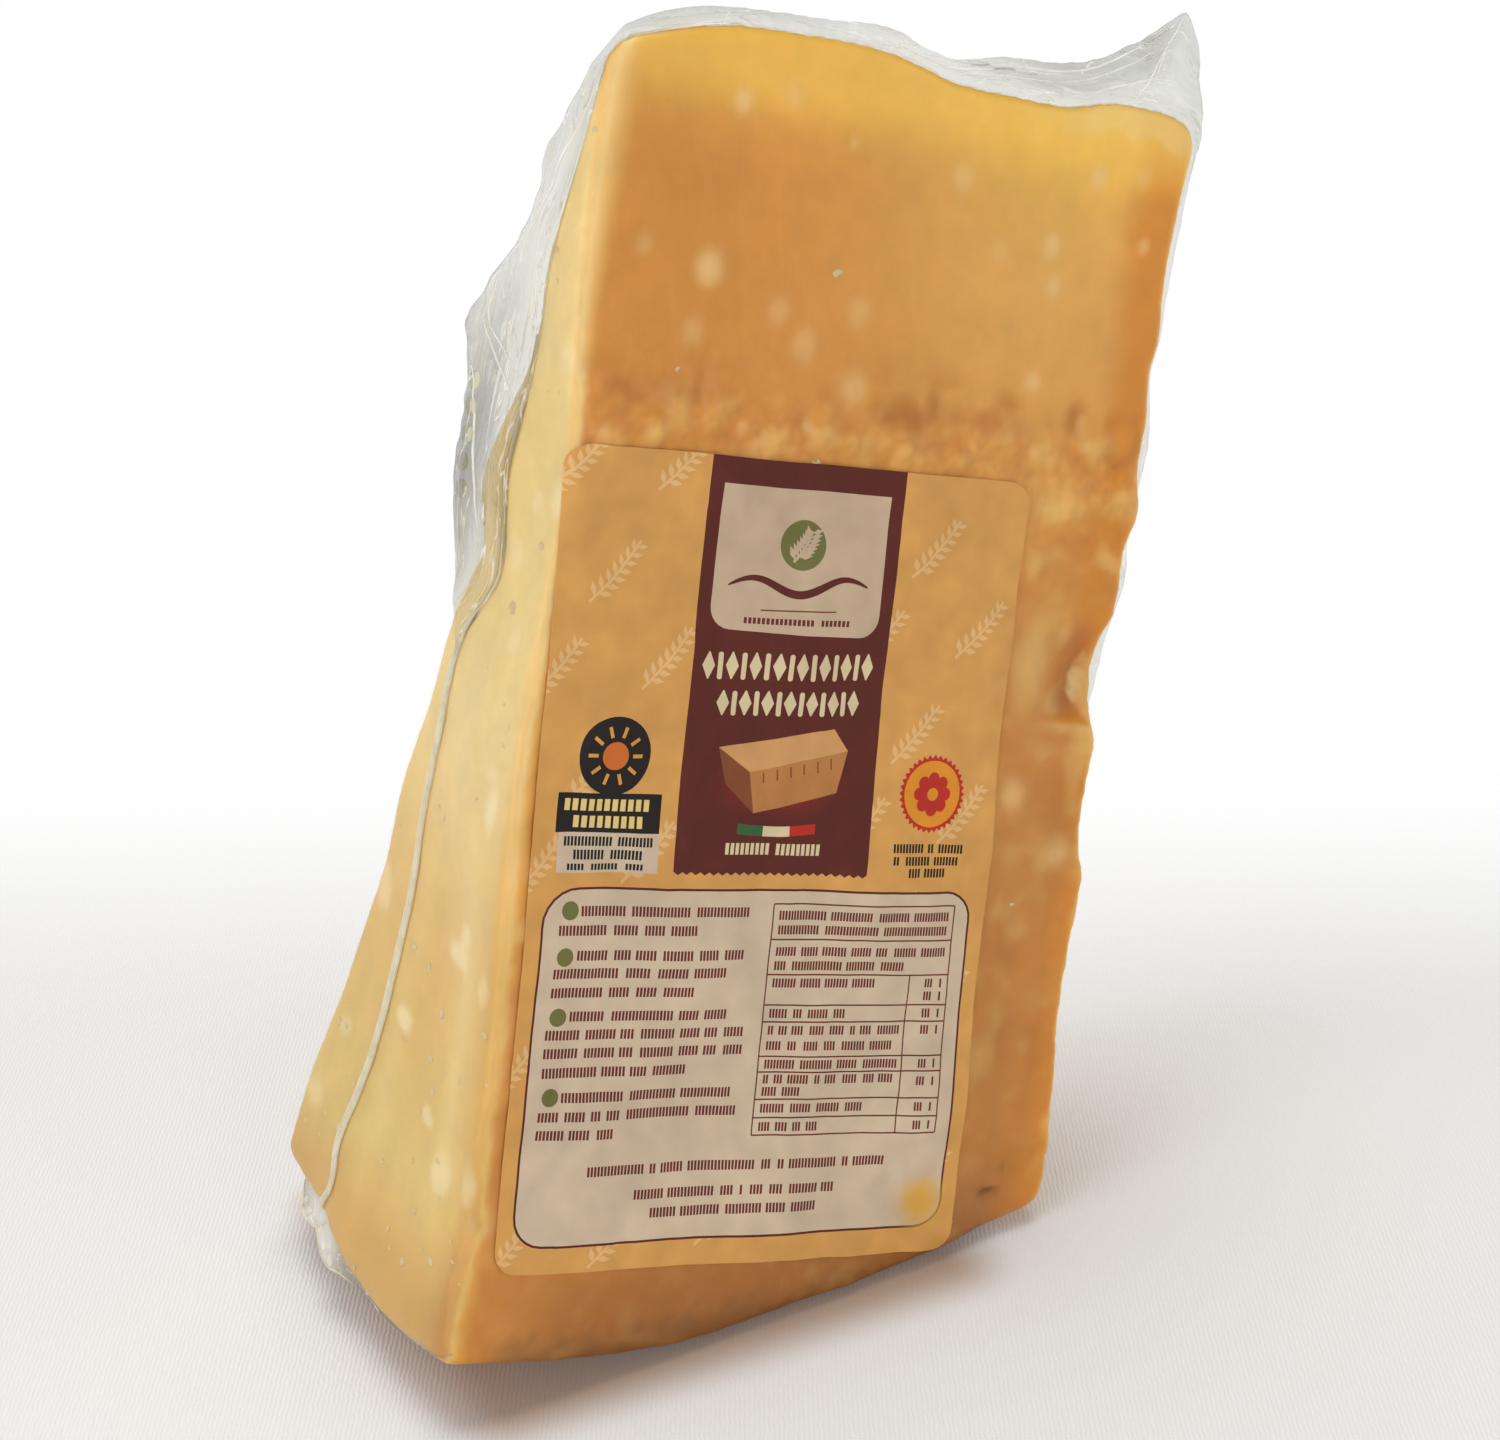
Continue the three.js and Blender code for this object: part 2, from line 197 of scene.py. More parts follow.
# How far the worn edges stand out from the solid: places along each edge and stands there.
RIGHT_STAND = [
    (24, 0.2), (37, 1.5), (44, 2.2), (52, 1.3), (64, 1.5), (77, 2.5), (85, 1.8), (91, 0.4), (98, 1),
    (106, 0.1), (113, 0.4), (126, 3), (134, 2), (152, 1.2), (168, 1.4), (178, 2),
]
BACK_LEFT_STAND = [
    (54, 0.2), (62, 1.8), (72, 3.6), (79, 3.4), (86, 1), (95, -0.6), (118, -1.2), (135, 0),
    (150, 1.1), (180, 0.9), (204, 1.8),
]
LEFT_FOOT_STAND = [
    (-38, 0.2), (-26, 1.4), (-12, 3), (-3, 2.8), (8, 0.8), (16, -0.8), (24, -0.6), (38, 0),
]
CREST_STAND = [
    (4, 0.6), (14, 0), (50, 0.4), (72, 0.9), (86, 1.2), (92, 2.6), (101, 3), (107, 2.6), (111, 1.4),
]

# Where smooth paste gives way to broken paste, down from the apex, and the row of crumbs there.
ROUGH_SPAN = (42, 60)
CRUMB_ROW = (54, 9)

# Single bumps and hollows of the faces: place across, place down, half width, half height, stand.
FRONT_FEATURES = [
    (27.7, 50.4, 2.2, 2, 0.8), (25.8, 53.5, 2, 2, 0.7), (36.3, 54.5, 2.3, 2.3, 0.9),
    (46, 53, 2.3, 2.6, 1), (31.7, 53.1, 1.8, 2.2, 0.6), (20, 53.4, 2.2, 2.4, 0.6),
    (15.9, 55.8, 2, 2, 0.7), (53, 54, 2.4, 2.6, 0.6), (62.2, 54.5, 2.6, 2.2, 0.6),
    (8.1, 56.7, 2.2, 2.4, 0.6), (72.8, 53.3, 2.6, 2.6, 0.6), (80.1, 48.7, 2.6, 2.4, 0.6),
    (88.7, 51.4, 3, 2.4, 0.8), (99.7, 49, 2.6, 2.6, 0.7), (10.2, 49.6, 3.4, 2.4, -0.6),
    (22.5, 48, 1.6, 3.8, -0.5), (59.3, 48.4, 4.4, 2.2, -0.7), (66.5, 46.2, 1.8, 4.4, -0.7),
    (72.9, 47.3, 3.6, 2, -0.5), (94.5, 45, 2, 3, -0.7), (81.5, 43.8, 2.4, 1.8, -0.4),
    (41.5, 51.4, 1.4, 2, -0.6), (94, 59.5, 7.5, 2.8, 0.9), (106, 57.5, 5, 2.6, 0.9),
    (97, 66.5, 7, 4.5, -0.25), (103, 84, 3, 5.6, -1.1), (102.6, 91, 3.6, 3.4, -1.2),
    (104.6, 87, 0.8, 5, 0.4), (92.5, 88, 3.4, 7, 0.9), (102.5, 96.2, 5.5, 1.2, 1.3),
    (106.5, 99, 3.4, 2.4, 0.9), (98.5, 100.5, 3.5, 2.4, 0.4), (101.5, 107.5, 3.4, 6, -0.35),
    (99.3, 116.5, 4, 3.6, 0.6), (106.5, 121, 3.2, 3.2, 0.6), (96, 131, 4, 7, -0.35),
    (103, 143, 4.5, 4.5, 0.5), (97, 152, 3.4, 6, -0.4), (98.5, 176, 2, 0.7, -1.1),
    (0.8, 181, 2.6, 1.6, -0.7), (40, 198.5, 5, 2.4, 0.5), (66, 197, 6, 3, -0.5),
]
RIGHT_FEATURES = [(-12, 90, 14, 6.5, 2.6)]
LEFT_CRYSTALS = [
    (42.5, 122.7, 3, 1.8, 0.5), (21.3, 145.2, 3, 3.4, 0.45), (-10.2, 144.3, 4.6, 2.4, 0.6),
    (-12.2, 140.6, 2.6, 1.8, 0.5), (-14.6, 118.3, 2.6, 3.4, 0.65), (-12, 113.2, 2.4, 1.6, 0.4),
    (-22.3, 145.9, 2, 2.4, 0.4), (2.9, 161.5, 2.8, 1.7, 0.6), (-11.2, 172, 2.2, 1.5, 0.5),
    (-21, 178.2, 3.6, 3.4, 0.45), (-29.5, 176, 1.8, 3.2, 0.4), (29.3, 186, 3.8, 2.4, 0.3),
    (24.4, 172, 3, 2, 0.35), (-7.4, 29.5, 2, 2.2, 0.6), (-9.2, 40.8, 2, 2.4, 0.6),
    (-6.9, 47.5, 2.8, 2.8, 0.3), (-11.4, 68.2, 2.4, 2.8, 0.5), (-4.7, 70.5, 2, 1.8, 0.45),
    (-1.5, 80, 2.4, 2.6, 0.35), (-8.5, 92, 2.4, 2.4, 0.35),
]


def cheese_sides(outward):
    """How much each point belongs to the front, back, left and right of the wedge, from 0 to 1."""
    front = rises(-outward[:, 1], 0.3, 0.8)
    back = rises(outward[:, 1], 0.3, 0.8)
    left = rises(-outward[:, 0], 0.4, 0.85)
    right = rises(outward[:, 0], 0.4, 0.85)
    return front, back, left, right


def features(across, down, places, sharpness=1.0):
    """The sum of single bumps and hollows at places: across, down, half width, half height, stand."""
    total = np.zeros(len(across))
    for centre, depth, half_width, half_height, stand in places:
        off = ((across - centre) / half_width) ** 2 + ((down - depth) / half_height) ** 2
        total += stand * np.exp(-off ** sharpness)
    return total


def heel_depth(x, down):
    """How far down a place is, counting the rise of the heel towards the rind."""
    return down + 0.22 * np.maximum(x - 28, 0)


def edge_stands(points, outward):
    """How far the worn edges of the wedge stand out, and how far its foot drops at the front."""
    x, y, z = points.T
    down = -z
    right = curve_through(RIGHT_STAND, down) * rises(x, 96, 107) * rises(outward[:, 0], -0.3, 0.5)
    back_left = curve_through(BACK_LEFT_STAND, down) * rises(-x, -12, -1) * rises(y, -6, 12)
    foot_left = 0.7 * (curve_through(LEFT_FOOT_STAND, y) * rises(-x, -14, -1) * rises(down, 188, 202))
    crest = curve_through(CREST_STAND, x) * rises(-down, -9, -1)
    heel = rises(heel_depth(x, down), 186, 200) * rises(-y, 4, 34)
    forward = heel * -0.8
    return np.stack([right - back_left - foot_left, forward, crest - foot_left - heel * HEEL_DROP], axis=1)


def cheese_relief(points, outward):
    """How far the surface stands out, in millimetres: lumps, grains and the gaps between them."""
    x, y, z = points.T
    down = -z
    front, back, left, right = cheese_sides(outward)
    broken = np.maximum(front, back) * (0.12 + 0.88 * rises(down, *ROUGH_SPAN))
    band = (front + back) * hump(down, *CRUMB_ROW)
    lumps = waves(points, 11, 3.1) * 0.42 + waves(points, 4.6, 7.7) * 0.22
    fine = (grains(points, 3.6, 1.3) - 0.55) * 0.14 + waves(points, 1.9, 5.9) * 0.05
    pebbles = (grains(points * (1, 1, 0.7), 5.6, 4.7) - 0.5) * 0.4
    grooves = waves(points, 9, 2.2, (1, 0.8, 8)) * 0.12
    swells = waves(points, 17, 4.4) * 0.30
    relief = broken * (lumps + fine) + band * pebbles
    relief += left * (grooves + swells)
    relief += right * (waves(points, 6, 8.1) * 0.18 + fine * 0.5)
    relief += front * features(x, down, FRONT_FEATURES)
    relief += left * features(y, down, LEFT_CRYSTALS) * 0.2
    relief += right * features(y, down, RIGHT_FEATURES)
    return relief - 0.25


# Colours from 0 to 255, as they look on a screen.
PASTE = (217, 147, 66)
# Paler paste at the upper right of the front, partly painted light from that side.
PALE_PASTE_AND_LIGHT = (228, 172, 92)
# Painted light: the apex and the top edge glow yellow as if lit through.
PAINTED_APEX_GLOW = (242, 194, 86)
# Painted shade: the front darker low down, and the lower front corner of the left face.
PASTE_SHADE = (186, 116, 48)
# Painted shade at the heel, and the brown mottling of the rind.
HEEL_SHADE_AND_RIND_MOTTLE = (160, 98, 42)
# Pale crumbs and blotches, and painted light where the paste stands out.
PALE_CRUMB_AND_PAINTED_LIGHT = (234, 190, 110)
# Darker paste, and painted shade in the hollows.
DARK_PASTE_AND_PAINTED_SHADE = (186, 108, 38)
# Painted shade in the recess at the right edge.
RECESS_SHADE = (186, 112, 48)
STRIP_SHADE = (170, 112, 58)
# Painted highlight along the front-left ridge.
PAINTED_EDGE_HIGHLIGHT = (242, 208, 132)
NICK = (104, 70, 36)
EDGE_GOLD = (228, 170, 72)
# Painted shade at the foot of the left face.
SIDE_FOOT_SHADE = (200, 154, 86)
# Pale crumbs along the crest, partly a painted highlight.
CREST_CRUMBS_AND_HIGHLIGHT = (246, 212, 134)
GLOW = (252, 205, 92)
RIND = (216, 138, 44)
# The cut left face: paler paste, and partly painted light from the left.
PALE_CUT_SIDE_AND_LIGHT = (234, 206, 142)
CUT_SIDE_LOW = (220, 188, 116)
CRYSTAL = (246, 228, 184)
SPOT = (240, 202, 136)

# Pale spots of the front: place across, place down, size, strength.
PALE_SPOTS = [
    (23.4, 4, 1.7, 0.8), (21.6, 30, 2.4, 0.8), (32.1, 1.5, 2, 0.35), (66, 9.3, 2, 0.5),
    (92, 5.1, 1.7, 0.7), (85, 17.5, 1.7, 0.7), (86.4, 24, 1.6, 0.55), (75, 19.5, 1.6, 0.3),
    (85, 39.7, 1.6, 0.6), (34.9, 34.8, 2, 0.35), (40.4, 39.7, 2.3, 0.4), (49.8, 33.2, 2, 0.35),
    (20.2, 40, 1.8, 0.4), (50.7, 45, 2.4, 0.45), (9.8, 28, 1.5, 0.3), (103.4, 14.7, 1.2, 0.5),
    (101, 3.5, 1.6, 0.4), (92.4, 108, 2.4, 0.5), (103, 117, 2.6, 0.4), (44.4, 7, 0.8, 0.5),
]
# Marks of the right edge, a pale ledge, painted shade in the recess and dark nicks: place across, place
# down, half width, half height, strength.
LEDGE_MARKS = [(93.5, 86, 3.6, 8, 1), (97, 79, 4, 3, 0.6)]
RECESS_MARKS = [(103, 85, 3, 8, 0.8), (102, 92, 3, 2.4, 0.8)]
NICK_MARKS = [(98.5, 176, 2.2, 0.7, 0.9), (101, 172, 0.8, 1, 0.4)]

LOW_ON_SIDE = (105, 188)
MOTTLING = (0.065, 0.05, 0.04)


def paste_light_and_shade_tints(at):
    """The yellow apex as painted light through it, paler paste with painted light at the upper right,
    painted shade low down and at the heel, and the rind.
    """
    return [
        (PALE_PASTE_AND_LIGHT, hump(at.x, 84, 34) * hump(at.down, 22, 34) * 0.85),
        (PAINTED_APEX_GLOW, 0.5 * hump(at.x, 92, 30) * hump(at.down, 2, 18) + 0.35 * rises(-at.down, -14, -2)),
        (PASTE_SHADE, 0.35 * rises(at.down, 110, 190)),
        # Painted shade at the heel.
        (HEEL_SHADE_AND_RIND_MOTTLE, 0.8 * rises(heel_depth(at.x, at.down), 180, 198) * rises(at.x, 2, 26)),
        (RIND, 0.9 * rises(at.x + 2.2 * at.wander, 97, 105)),
    ]


def crumb_light_and_shade_tints(at, relief):
    """Pale crumbs and deep gaps, with painted light on what stands out and painted shade in the hollows,
    close in the row where the broken paste begins, dark smudges, and pale blotches below.
    """
    stand = relief + 0.25
    flecks = grains(at.points, 3.0, 8.3)
    in_row = at.broken * rises(at.down, 40, 56) * (0.25 + 0.75 * hump(at.down, 53, 8))
    smudges = np.clip(waves(at.points, 5.0, 2.9, (1, 1, 1.1)) * 1.8, 0, 0.6)
    smudges = smudges * (0.2 + 0.8 * rises(at.x, 38, 66))
    blotches = np.clip(waves(at.points, 4.6, 8.8, (1, 1, 1.2)) * 2.2 - 0.35, 0, 1)
    blotched = (0.55 * at.front + 0.3 * at.back) * rises(at.down, 56, 66)
    return [
        # Painted light on raised paste and painted shade in its hollows, following the relief.
        (PALE_CRUMB_AND_PAINTED_LIGHT, at.broken * np.clip(stand - 0.1, 0, 0.8) * 0.9),
        (DARK_PASTE_AND_PAINTED_SHADE, at.broken * np.clip(-stand - 0.1, 0, 0.9) * 0.9),
        (PALE_CRUMB_AND_PAINTED_LIGHT, in_row * np.clip(flecks - 0.55, 0, 1) * 0.6),
        (DARK_PASTE_AND_PAINTED_SHADE, in_row * np.clip(0.3 - flecks, 0, 1) * 0.8),
        (DARK_PASTE_AND_PAINTED_SHADE, at.broken * hump(at.down, 48, 6) * smudges),
        (PALE_CRUMB_AND_PAINTED_LIGHT, blotched * (1 - 0.85 * rises(at.down, 160, 178)) * blotches),
    ]


def right_edge_tints(at):
    """Painted light through the crest and the thin right edge, the mottled rind, and the marks of that
    edge: a pale crest partly painted as highlight, a pale ledge, painted shade in the recess and along the
    strip, and dark nicks.
    """
    outer_edge = rises(at.outward[:, 0], 0.15, 0.8) * rises(at.x, 100, 108) * (1 - hump(at.down, 86, 9))
    glowing = 0.62 * rises(-at.down, -8, 1.5) + 0.6 * outer_edge * (1 - 0.8 * rises(at.from_front, 6, 16))
    mottled = np.clip(waves(at.points, 7, 4.9, (1, 1.6, 1)) * 1.8 - 0.1, 0, 0.7)
    lip = -1.3 + 1.8 * waves(at.points, 5, 1.1)
    strip = rises(at.x, 84, 92) * (1 - rises(at.x, 103, 109)) * rises(at.down, 62, 112)
    ragged_heel = rises(heel_depth(at.x, at.down) + 2.5 * waves(at.points, 2.4, 3.7), 197, 202)
    return [
        (GLOW, glowing),
        # The rind's own brown mottling.
        (HEEL_SHADE_AND_RIND_MOTTLE, 0.5 * at.right * mottled * rises(at.from_front, 6, 16)),
        (CREST_CRUMBS_AND_HIGHLIGHT, 0.55 * rises(at.x, 74, 92) * rises(-at.down, -lip, 1.4 - lip)),
        (PALE_CRUMB_AND_PAINTED_LIGHT, 0.6 * at.front * features(at.x, at.down, LEDGE_MARKS, 1.3)),
        (RECESS_SHADE, 0.55 * at.front * features(at.x, at.down, RECESS_MARKS, 1.5)),
        # Painted shade along the strip right of the label.
        (STRIP_SHADE, 0.4 * at.front * strip),
        (NICK, at.front * features(at.x, at.down, NICK_MARKS, 1.5)),
        (NICK, 0.5 * at.broken * ragged_heel * rises(at.x, 4, 12)),
    ]


def spot_tints(at):
    """Round pale spots, where crystals lie just under the front."""
    tints = []
    for x, down, size, strength in PALE_SPOTS:
        spot = np.exp(-(((at.x - x) / size) ** 2 + ((at.down - down) / (1.15 * size)) ** 2) ** 1.5)
        tints.append((SPOT, spot * strength * rises(-at.outward[:, 1], 0.2, 0.6)))
    return tints


def left_edge_tints(at):
    """The gold, and a painted highlight along the line where the broken faces meet the left one."""
    gold_reach = 4.5 + 3 * rises(-at.down, -50, 0) + at.wander
    highlight_reach = 3.0 + 3.4 * rises(-at.down, -70, -5)
    highlight_line = 1 - rises(at.x, -0.8, highlight_reach)
    return [
        (EDGE_GOLD, 0.8 * (at.front + 0.3 * at.back) * (1 - rises(at.x, 0.5, gold_reach))),
        (PAINTED_EDGE_HIGHLIGHT, 0.85 * at.broken * highlight_line * (1 - rises(at.down, 110, 165))),
    ]


def left_face_tints(at):
    """The smoothly cut left face: pale, partly as painted light from the left, darker low down, and
    painted shade at its foot and low at its front edge, with its crystals.
    """
    pale = rises(-at.outward[:, 0], 0.15, 0.6)
    low = rises(at.down, *LOW_ON_SIDE)
    front_band = 0.6 * hump(at.from_front, 12, 5) * (1 - rises(at.down, 172, 190))
    gold_reach = 1.6 + 2.6 * rises(at.down, 40, 150)
    # Painted shade low on the left face and near its front edge.
    foot = 0.75 * rises(at.down, 182, 200) + 0.3 * hump(at.from_front, 0, 9) * rises(at.down, 90, 170)
    ragged = waves(at.points, 3.4, 6.4)
    crystals = features(at.y + ragged, at.down - ragged, LEFT_CRYSTALS, 2.2)
    return [
        (PALE_CUT_SIDE_AND_LIGHT, pale * (1 - low)),
        (CUT_SIDE_LOW, pale * low),
        (PALE_CUT_SIDE_AND_LIGHT, at.left * rises(at.down, 110, 150) * (0.3 * hump(at.y, 5, 4) + front_band)),
        (EDGE_GOLD, 0.6 * at.left * (1 - rises(at.from_front, 0.2, gold_reach))),
        (SIDE_FOOT_SHADE, at.left * foot),
        # Painted shade at the lower front corner of the left face.
        (PASTE_SHADE, 0.45 * at.left * (1 - rises(at.from_front, 0, 8)) * rises(at.down, 160, 190)),
        (CRYSTAL, at.left * np.clip(crystals, 0, 1)),
    ]


def cheese_colour(points, outward, relief):
    """Amber paste with its tints laid one over another, faintly mottled."""
    x, y, z = points.T
    front, back, left, right = cheese_sides(outward)
    at = SimpleNamespace(
        points=points, outward=outward, x=x, y=y, down=-z, from_front=y + -z * math.tan(HALF_ANGLE),
        front=front, back=back, broken=front + back, left=left, right=right, wander=waves(points, 16, 5.1),
    )
    tints = paste_light_and_shade_tints(at) + crumb_light_and_shade_tints(at, relief) + right_edge_tints(at)
    tints += spot_tints(at) + left_edge_tints(at) + left_face_tints(at)
    colour = np.tile(srgb(*PASTE), (len(points), 1))
    for ink, share in tints:
        colour = colour + (srgb(*ink) - colour) * np.clip(share, 0, 1)[:, None]
    mottle = waves(points, 24, 0.7) + 0.9 * waves(points, 8, 6.6)
    return colour * (1 + mottle[:, None] * MOTTLING)


cheese = fine_shell("cheese", "cheese_wedge")
cheese_ends = read_all(cheese.data.edges, "vertices", 2, np.int32)
cheese_points = to_wedge(relaxed(read_all(cheese.data.vertices, "co", 3), cheese_ends, RELAXING_ROUNDS))
move_to(cheese.data, to_row(cheese_points))
cheese_outward = read_all(cheese.data.vertices, "normal", 3) @ LEAN_MATRIX
relief = cheese_relief(cheese_points, cheese_outward)
worn = edge_stands(cheese_points, cheese_outward)
cheese_points = cheese_points + cheese_outward * relief[:, None] + worn
move_to(cheese.data, to_row(cheese_points))
cheese_outward = read_all(cheese.data.vertices, "normal", 3) @ LEAN_MATRIX

paste_colour = cheese.data.color_attributes.new("paste", "FLOAT_COLOR", "POINT")
colours = np.ones((len(cheese_points), 4), dtype=np.float32)
colours[:, :3] = np.clip(cheese_colour(cheese_points, cheese_outward, relief), 0, 1)
paste_colour.data.foreach_set("color", colours.ravel())
cheese_down = -cheese_points[:, 2]
not_left = 1 - rises(-cheese_outward[:, 0], 0.3, 0.8)
in_crumbs = rises(cheese_down, 38, 50) * (1 - 0.75 * rises(cheese_down, 56, 70))
keep_on_points(cheese.data, "crumbly", not_left * in_crumbs)


def node_adder(tree, family):
    """A function that adds a node to the tree, with its inputs set to values or linked to sockets."""
    def add(kind, inputs=(), **settings):
        node = tree.nodes.new(kind if kind.startswith(("Function", "Shader")) else family + kind)
        for key, value in settings.items():
            setattr(node, key, value)
        for key, value in dict(inputs).items():
            if isinstance(value, bpy.types.NodeSocket):
                tree.links.new(value, node.inputs[key])
            else:
                node.inputs[key].default_value = value
        return node

    return add


def new_material(name):
    """A material with an empty node tree, and the function that adds nodes to it."""
    material = bpy.data.materials.new(name)
    material.use_nodes = True
    material.node_tree.nodes.clear()
    return material, node_adder(material.node_tree, "ShaderNode")


def remap(add, value, before, after):
    """A value mapped from the span before to the span after, and held at its ends."""
    return add("MapRange", {0: value, 1: before[0], 2: before[1], 3: after[0], 4: after[1]}).outputs[0]


def cheese_material():
    """Waxy paste that light soaks into, finely grained and faintly mottled."""
    material, add = new_material("cheese paste")
    place = add("TexCoord").outputs["Object"]
    paste = add("VertexColor", layer_name="paste").outputs["Color"]
    clouds = add("TexNoise", {"Vector": place, "Scale": 240, "Detail": 5, "Roughness": 0.6}).outputs["Fac"]
    grain = add("TexVoronoi", {"Vector": place, "Scale": 520}, feature="F1").outputs["Distance"]
    tone = remap(add, clouds, (0.3, 0.7), (0.95, 1.04))
    crumbly = add("Attribute", attribute_name="crumbly").outputs["Fac"]
    shaken = add("TexNoise", {"Vector": place, "Scale": 300, "Detail": 2}).outputs["Color"]
    shaking = {0: shaken, 1: (0.005,) * 3, 2: place}
    stirred = add("VectorMath", shaking, operation="MULTIPLY_ADD").outputs[0]
    crumbs = add("TexVoronoi", {"Vector": stirred, "Scale": 290}, feature="SMOOTH_F1").outputs["Distance"]
    crumb_tone = remap(add, crumbs, (0.15, 0.6), (0.05, -0.06))
    with_crumbs = add("Math", {0: crumb_tone, 1: crumbly, 2: tone}, operation="MULTIPLY_ADD").outputs[0]
    tinted = add("VectorMath", {0: paste, "Scale": with_crumbs}, operation="SCALE").outputs[0]
    height = add("Math", {0: clouds, 1: grain}, operation="ADD").outputs[0]
    bump = add("Bump", {"Height": height, "Strength": 0.14, "Distance": 0.0004}).outputs[0]
    rough = remap(add, clouds, (0.3, 0.7), (0.42, 0.58))
    soaked = {"Subsurface Weight": 0.3, "Subsurface Radius": (1.0, 0.55, 0.2), "Subsurface Scale": 0.004}
    gloss = {"Roughness": rough, "Specular IOR Level": 0.2, "Normal": bump}
    shader = add("BsdfPrincipled", {"Base Color": tinted, **gloss, **soaked})
    add("OutputMaterial", {"Surface": shader.outputs[0]})
    return material


cheese.data.materials.append(cheese_material())
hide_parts("cheese_wedge")
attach(cheese, "root")

# ---- Crystals --------------------------------------------------------------------------------
# Pale, lens-shaped grains of tyrosine that grew in the paste as it aged and show where it was cut,
# close together on the left face and sparse elsewhere. Each is a flattened, chipped ball.

GRAIN_LEAST = (0.6, 0.5, 0.05)
GRAIN_MOST = (1.3, 1.0, 0.08)
CHIP_SIZE = 0.0005


def geometry_group(name, inputs):
    """A Geometry Nodes group with named inputs, its two ends, and the function that adds nodes to it."""
    group = bpy.data.node_groups.new(name, "GeometryNodeTree")
    group.interface.new_socket("Geometry", in_out="INPUT", socket_type="NodeSocketGeometry")
    group.interface.new_socket("Geometry", in_out="OUTPUT", socket_type="NodeSocketGeometry")
    for key, kind in inputs.items():
        group.interface.new_socket(key, in_out="INPUT", socket_type="NodeSocket" + kind)
    start = group.nodes.new("NodeGroupInput").outputs
    end = group.nodes.new("NodeGroupOutput").inputs
    return group, start, end, node_adder(group, "GeometryNode")


def apply_group(piece, group, values):
    """Runs the group on the piece with its named inputs set, and keeps the result as a plain mesh."""
    modifier = piece.modifiers.new(group.name, "NODES")
    modifier.node_group = group
    for item in group.interface.items_tree:
        if item.in_out == "INPUT" and item.name in values:
            modifier[item.identifier] = values[item.name]
    piece.data = evaluated_mesh(piece)


def dress(group, start, end, add, mesh):
    """Ends a group: its copies made real, shaded smooth and in the material that it was given."""
    solid = add("RealizeInstances", {0: mesh}).outputs[0]
    smooth = add("SetShadeSmooth", {0: solid}).outputs[0]
    dressed = add("SetMaterial", {0: smooth, "Material": start["Material"]}).outputs[0]
    group.links.new(dressed, end[0])
    return group


def crystal_group():
    """Flat grains scattered over the faces, close where the "crystals" attribute is high."""
    sizes = {"Spacing": "Float", "Density": "Float", "Smallest": "Float", "Largest": "Float"}
    group, start, end, add = geometry_group("crystals", {**sizes, "Seed": "Int", "Material": "Material"})
    share = add("InputNamedAttribute", {"Name": "crystals"}, data_type="FLOAT").outputs["Attribute"]
    places = add(
        "DistributePointsOnFaces",
        {0: start["Geometry"], "Distance Min": start["Spacing"], "Density Max": start["Density"],
         "Density Factor": share, "Seed": start["Seed"]},
        distribute_method="POISSON",
    ).outputs
    grain = add("MeshIcoSphere", {"Radius": 1.0, "Subdivisions": 2}).outputs["Mesh"]
    sizes_between = {2: start["Smallest"], 3: start["Largest"], "Seed": start["Seed"]}
    size = add("FunctionNodeRandomValue", sizes_between).outputs[1]
    shapes_between = {0: GRAIN_LEAST, 1: GRAIN_MOST}
    shape = add("FunctionNodeRandomValue", shapes_between, data_type="FLOAT_VECTOR").outputs[0]
    scale = add("ShaderNodeVectorMath", {0: shape, "Scale": size}, operation="SCALE").outputs[0]
    lying = {"Points": places["Points"], "Rotation": places["Rotation"], "Scale": scale}
    placed = add("InstanceOnPoints", {"Instance": grain, **lying}).outputs[0]
    solid = add("RealizeInstances", {0: placed}).outputs[0]
    chipped = add("ShaderNodeTexNoise", {"Scale": 900}).outputs["Color"]
    centred = add("ShaderNodeVectorMath", {0: chipped, 1: (0.5,) * 3}, operation="SUBTRACT").outputs[0]
    shift = add("ShaderNodeVectorMath", {0: centred, "Scale": CHIP_SIZE}, operation="SCALE").outputs[0]
    return dress(group, start, end, add, add("SetPosition", {0: solid, "Offset": shift}).outputs[0])


def crystal_material():
    """Chalky grains, paler than the paste round them and a little translucent."""
    material, add = new_material("crystals")
    place = add("TexCoord").outputs["Object"]
    chalk = add("TexNoise", {"Vector": place, "Scale": 900, "Detail": 3}).outputs["Fac"]
    colour = add("ValToRGB", {0: chalk})
    ramp = colour.color_ramp.elements
    ramp[0].color = (*srgb(222, 188, 122), 1)
    ramp[1].color = (*srgb(236, 210, 152), 1)
    bump = add("Bump", {"Height": chalk, "Strength": 0.3, "Distance": 0.0002}).outputs[0]
    soaked = {"Subsurface Weight": 0.3, "Subsurface Radius": (1.0, 0.7, 0.4), "Subsurface Scale": 0.002}
    chalky = {"Base Color": colour.outputs[0], "Roughness": 0.6, "Normal": bump}
    shader = add("BsdfPrincipled", {**chalky, **soaked})
    add("OutputMaterial", {"Surface": shader.outputs[0]})
    return material


crystals = new_piece("crystals", cheese.data.copy())
front, back, left, right = cheese_sides(cheese_outward)
cut_middle = 1 - rises(cheese_points[:, 0], 92, 104)
patchy = 0.4 + 0.6 * rises(waves(cheese_points, 22, 3.3), -0.25, 0.25)
keep_on_points(crystals.data, "crystals", patchy * (left + 0.13 * (front + back) * cut_middle))
crystal_sizes = {"Spacing": 0.003, "Density": 15000.0, "Smallest": 0.0003, "Largest": 0.0011, "Seed": 7}
apply_group(crystals, crystal_group(), {**crystal_sizes, "Material": crystal_material()})
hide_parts("cheese_wedge")
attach(crystals, "root")

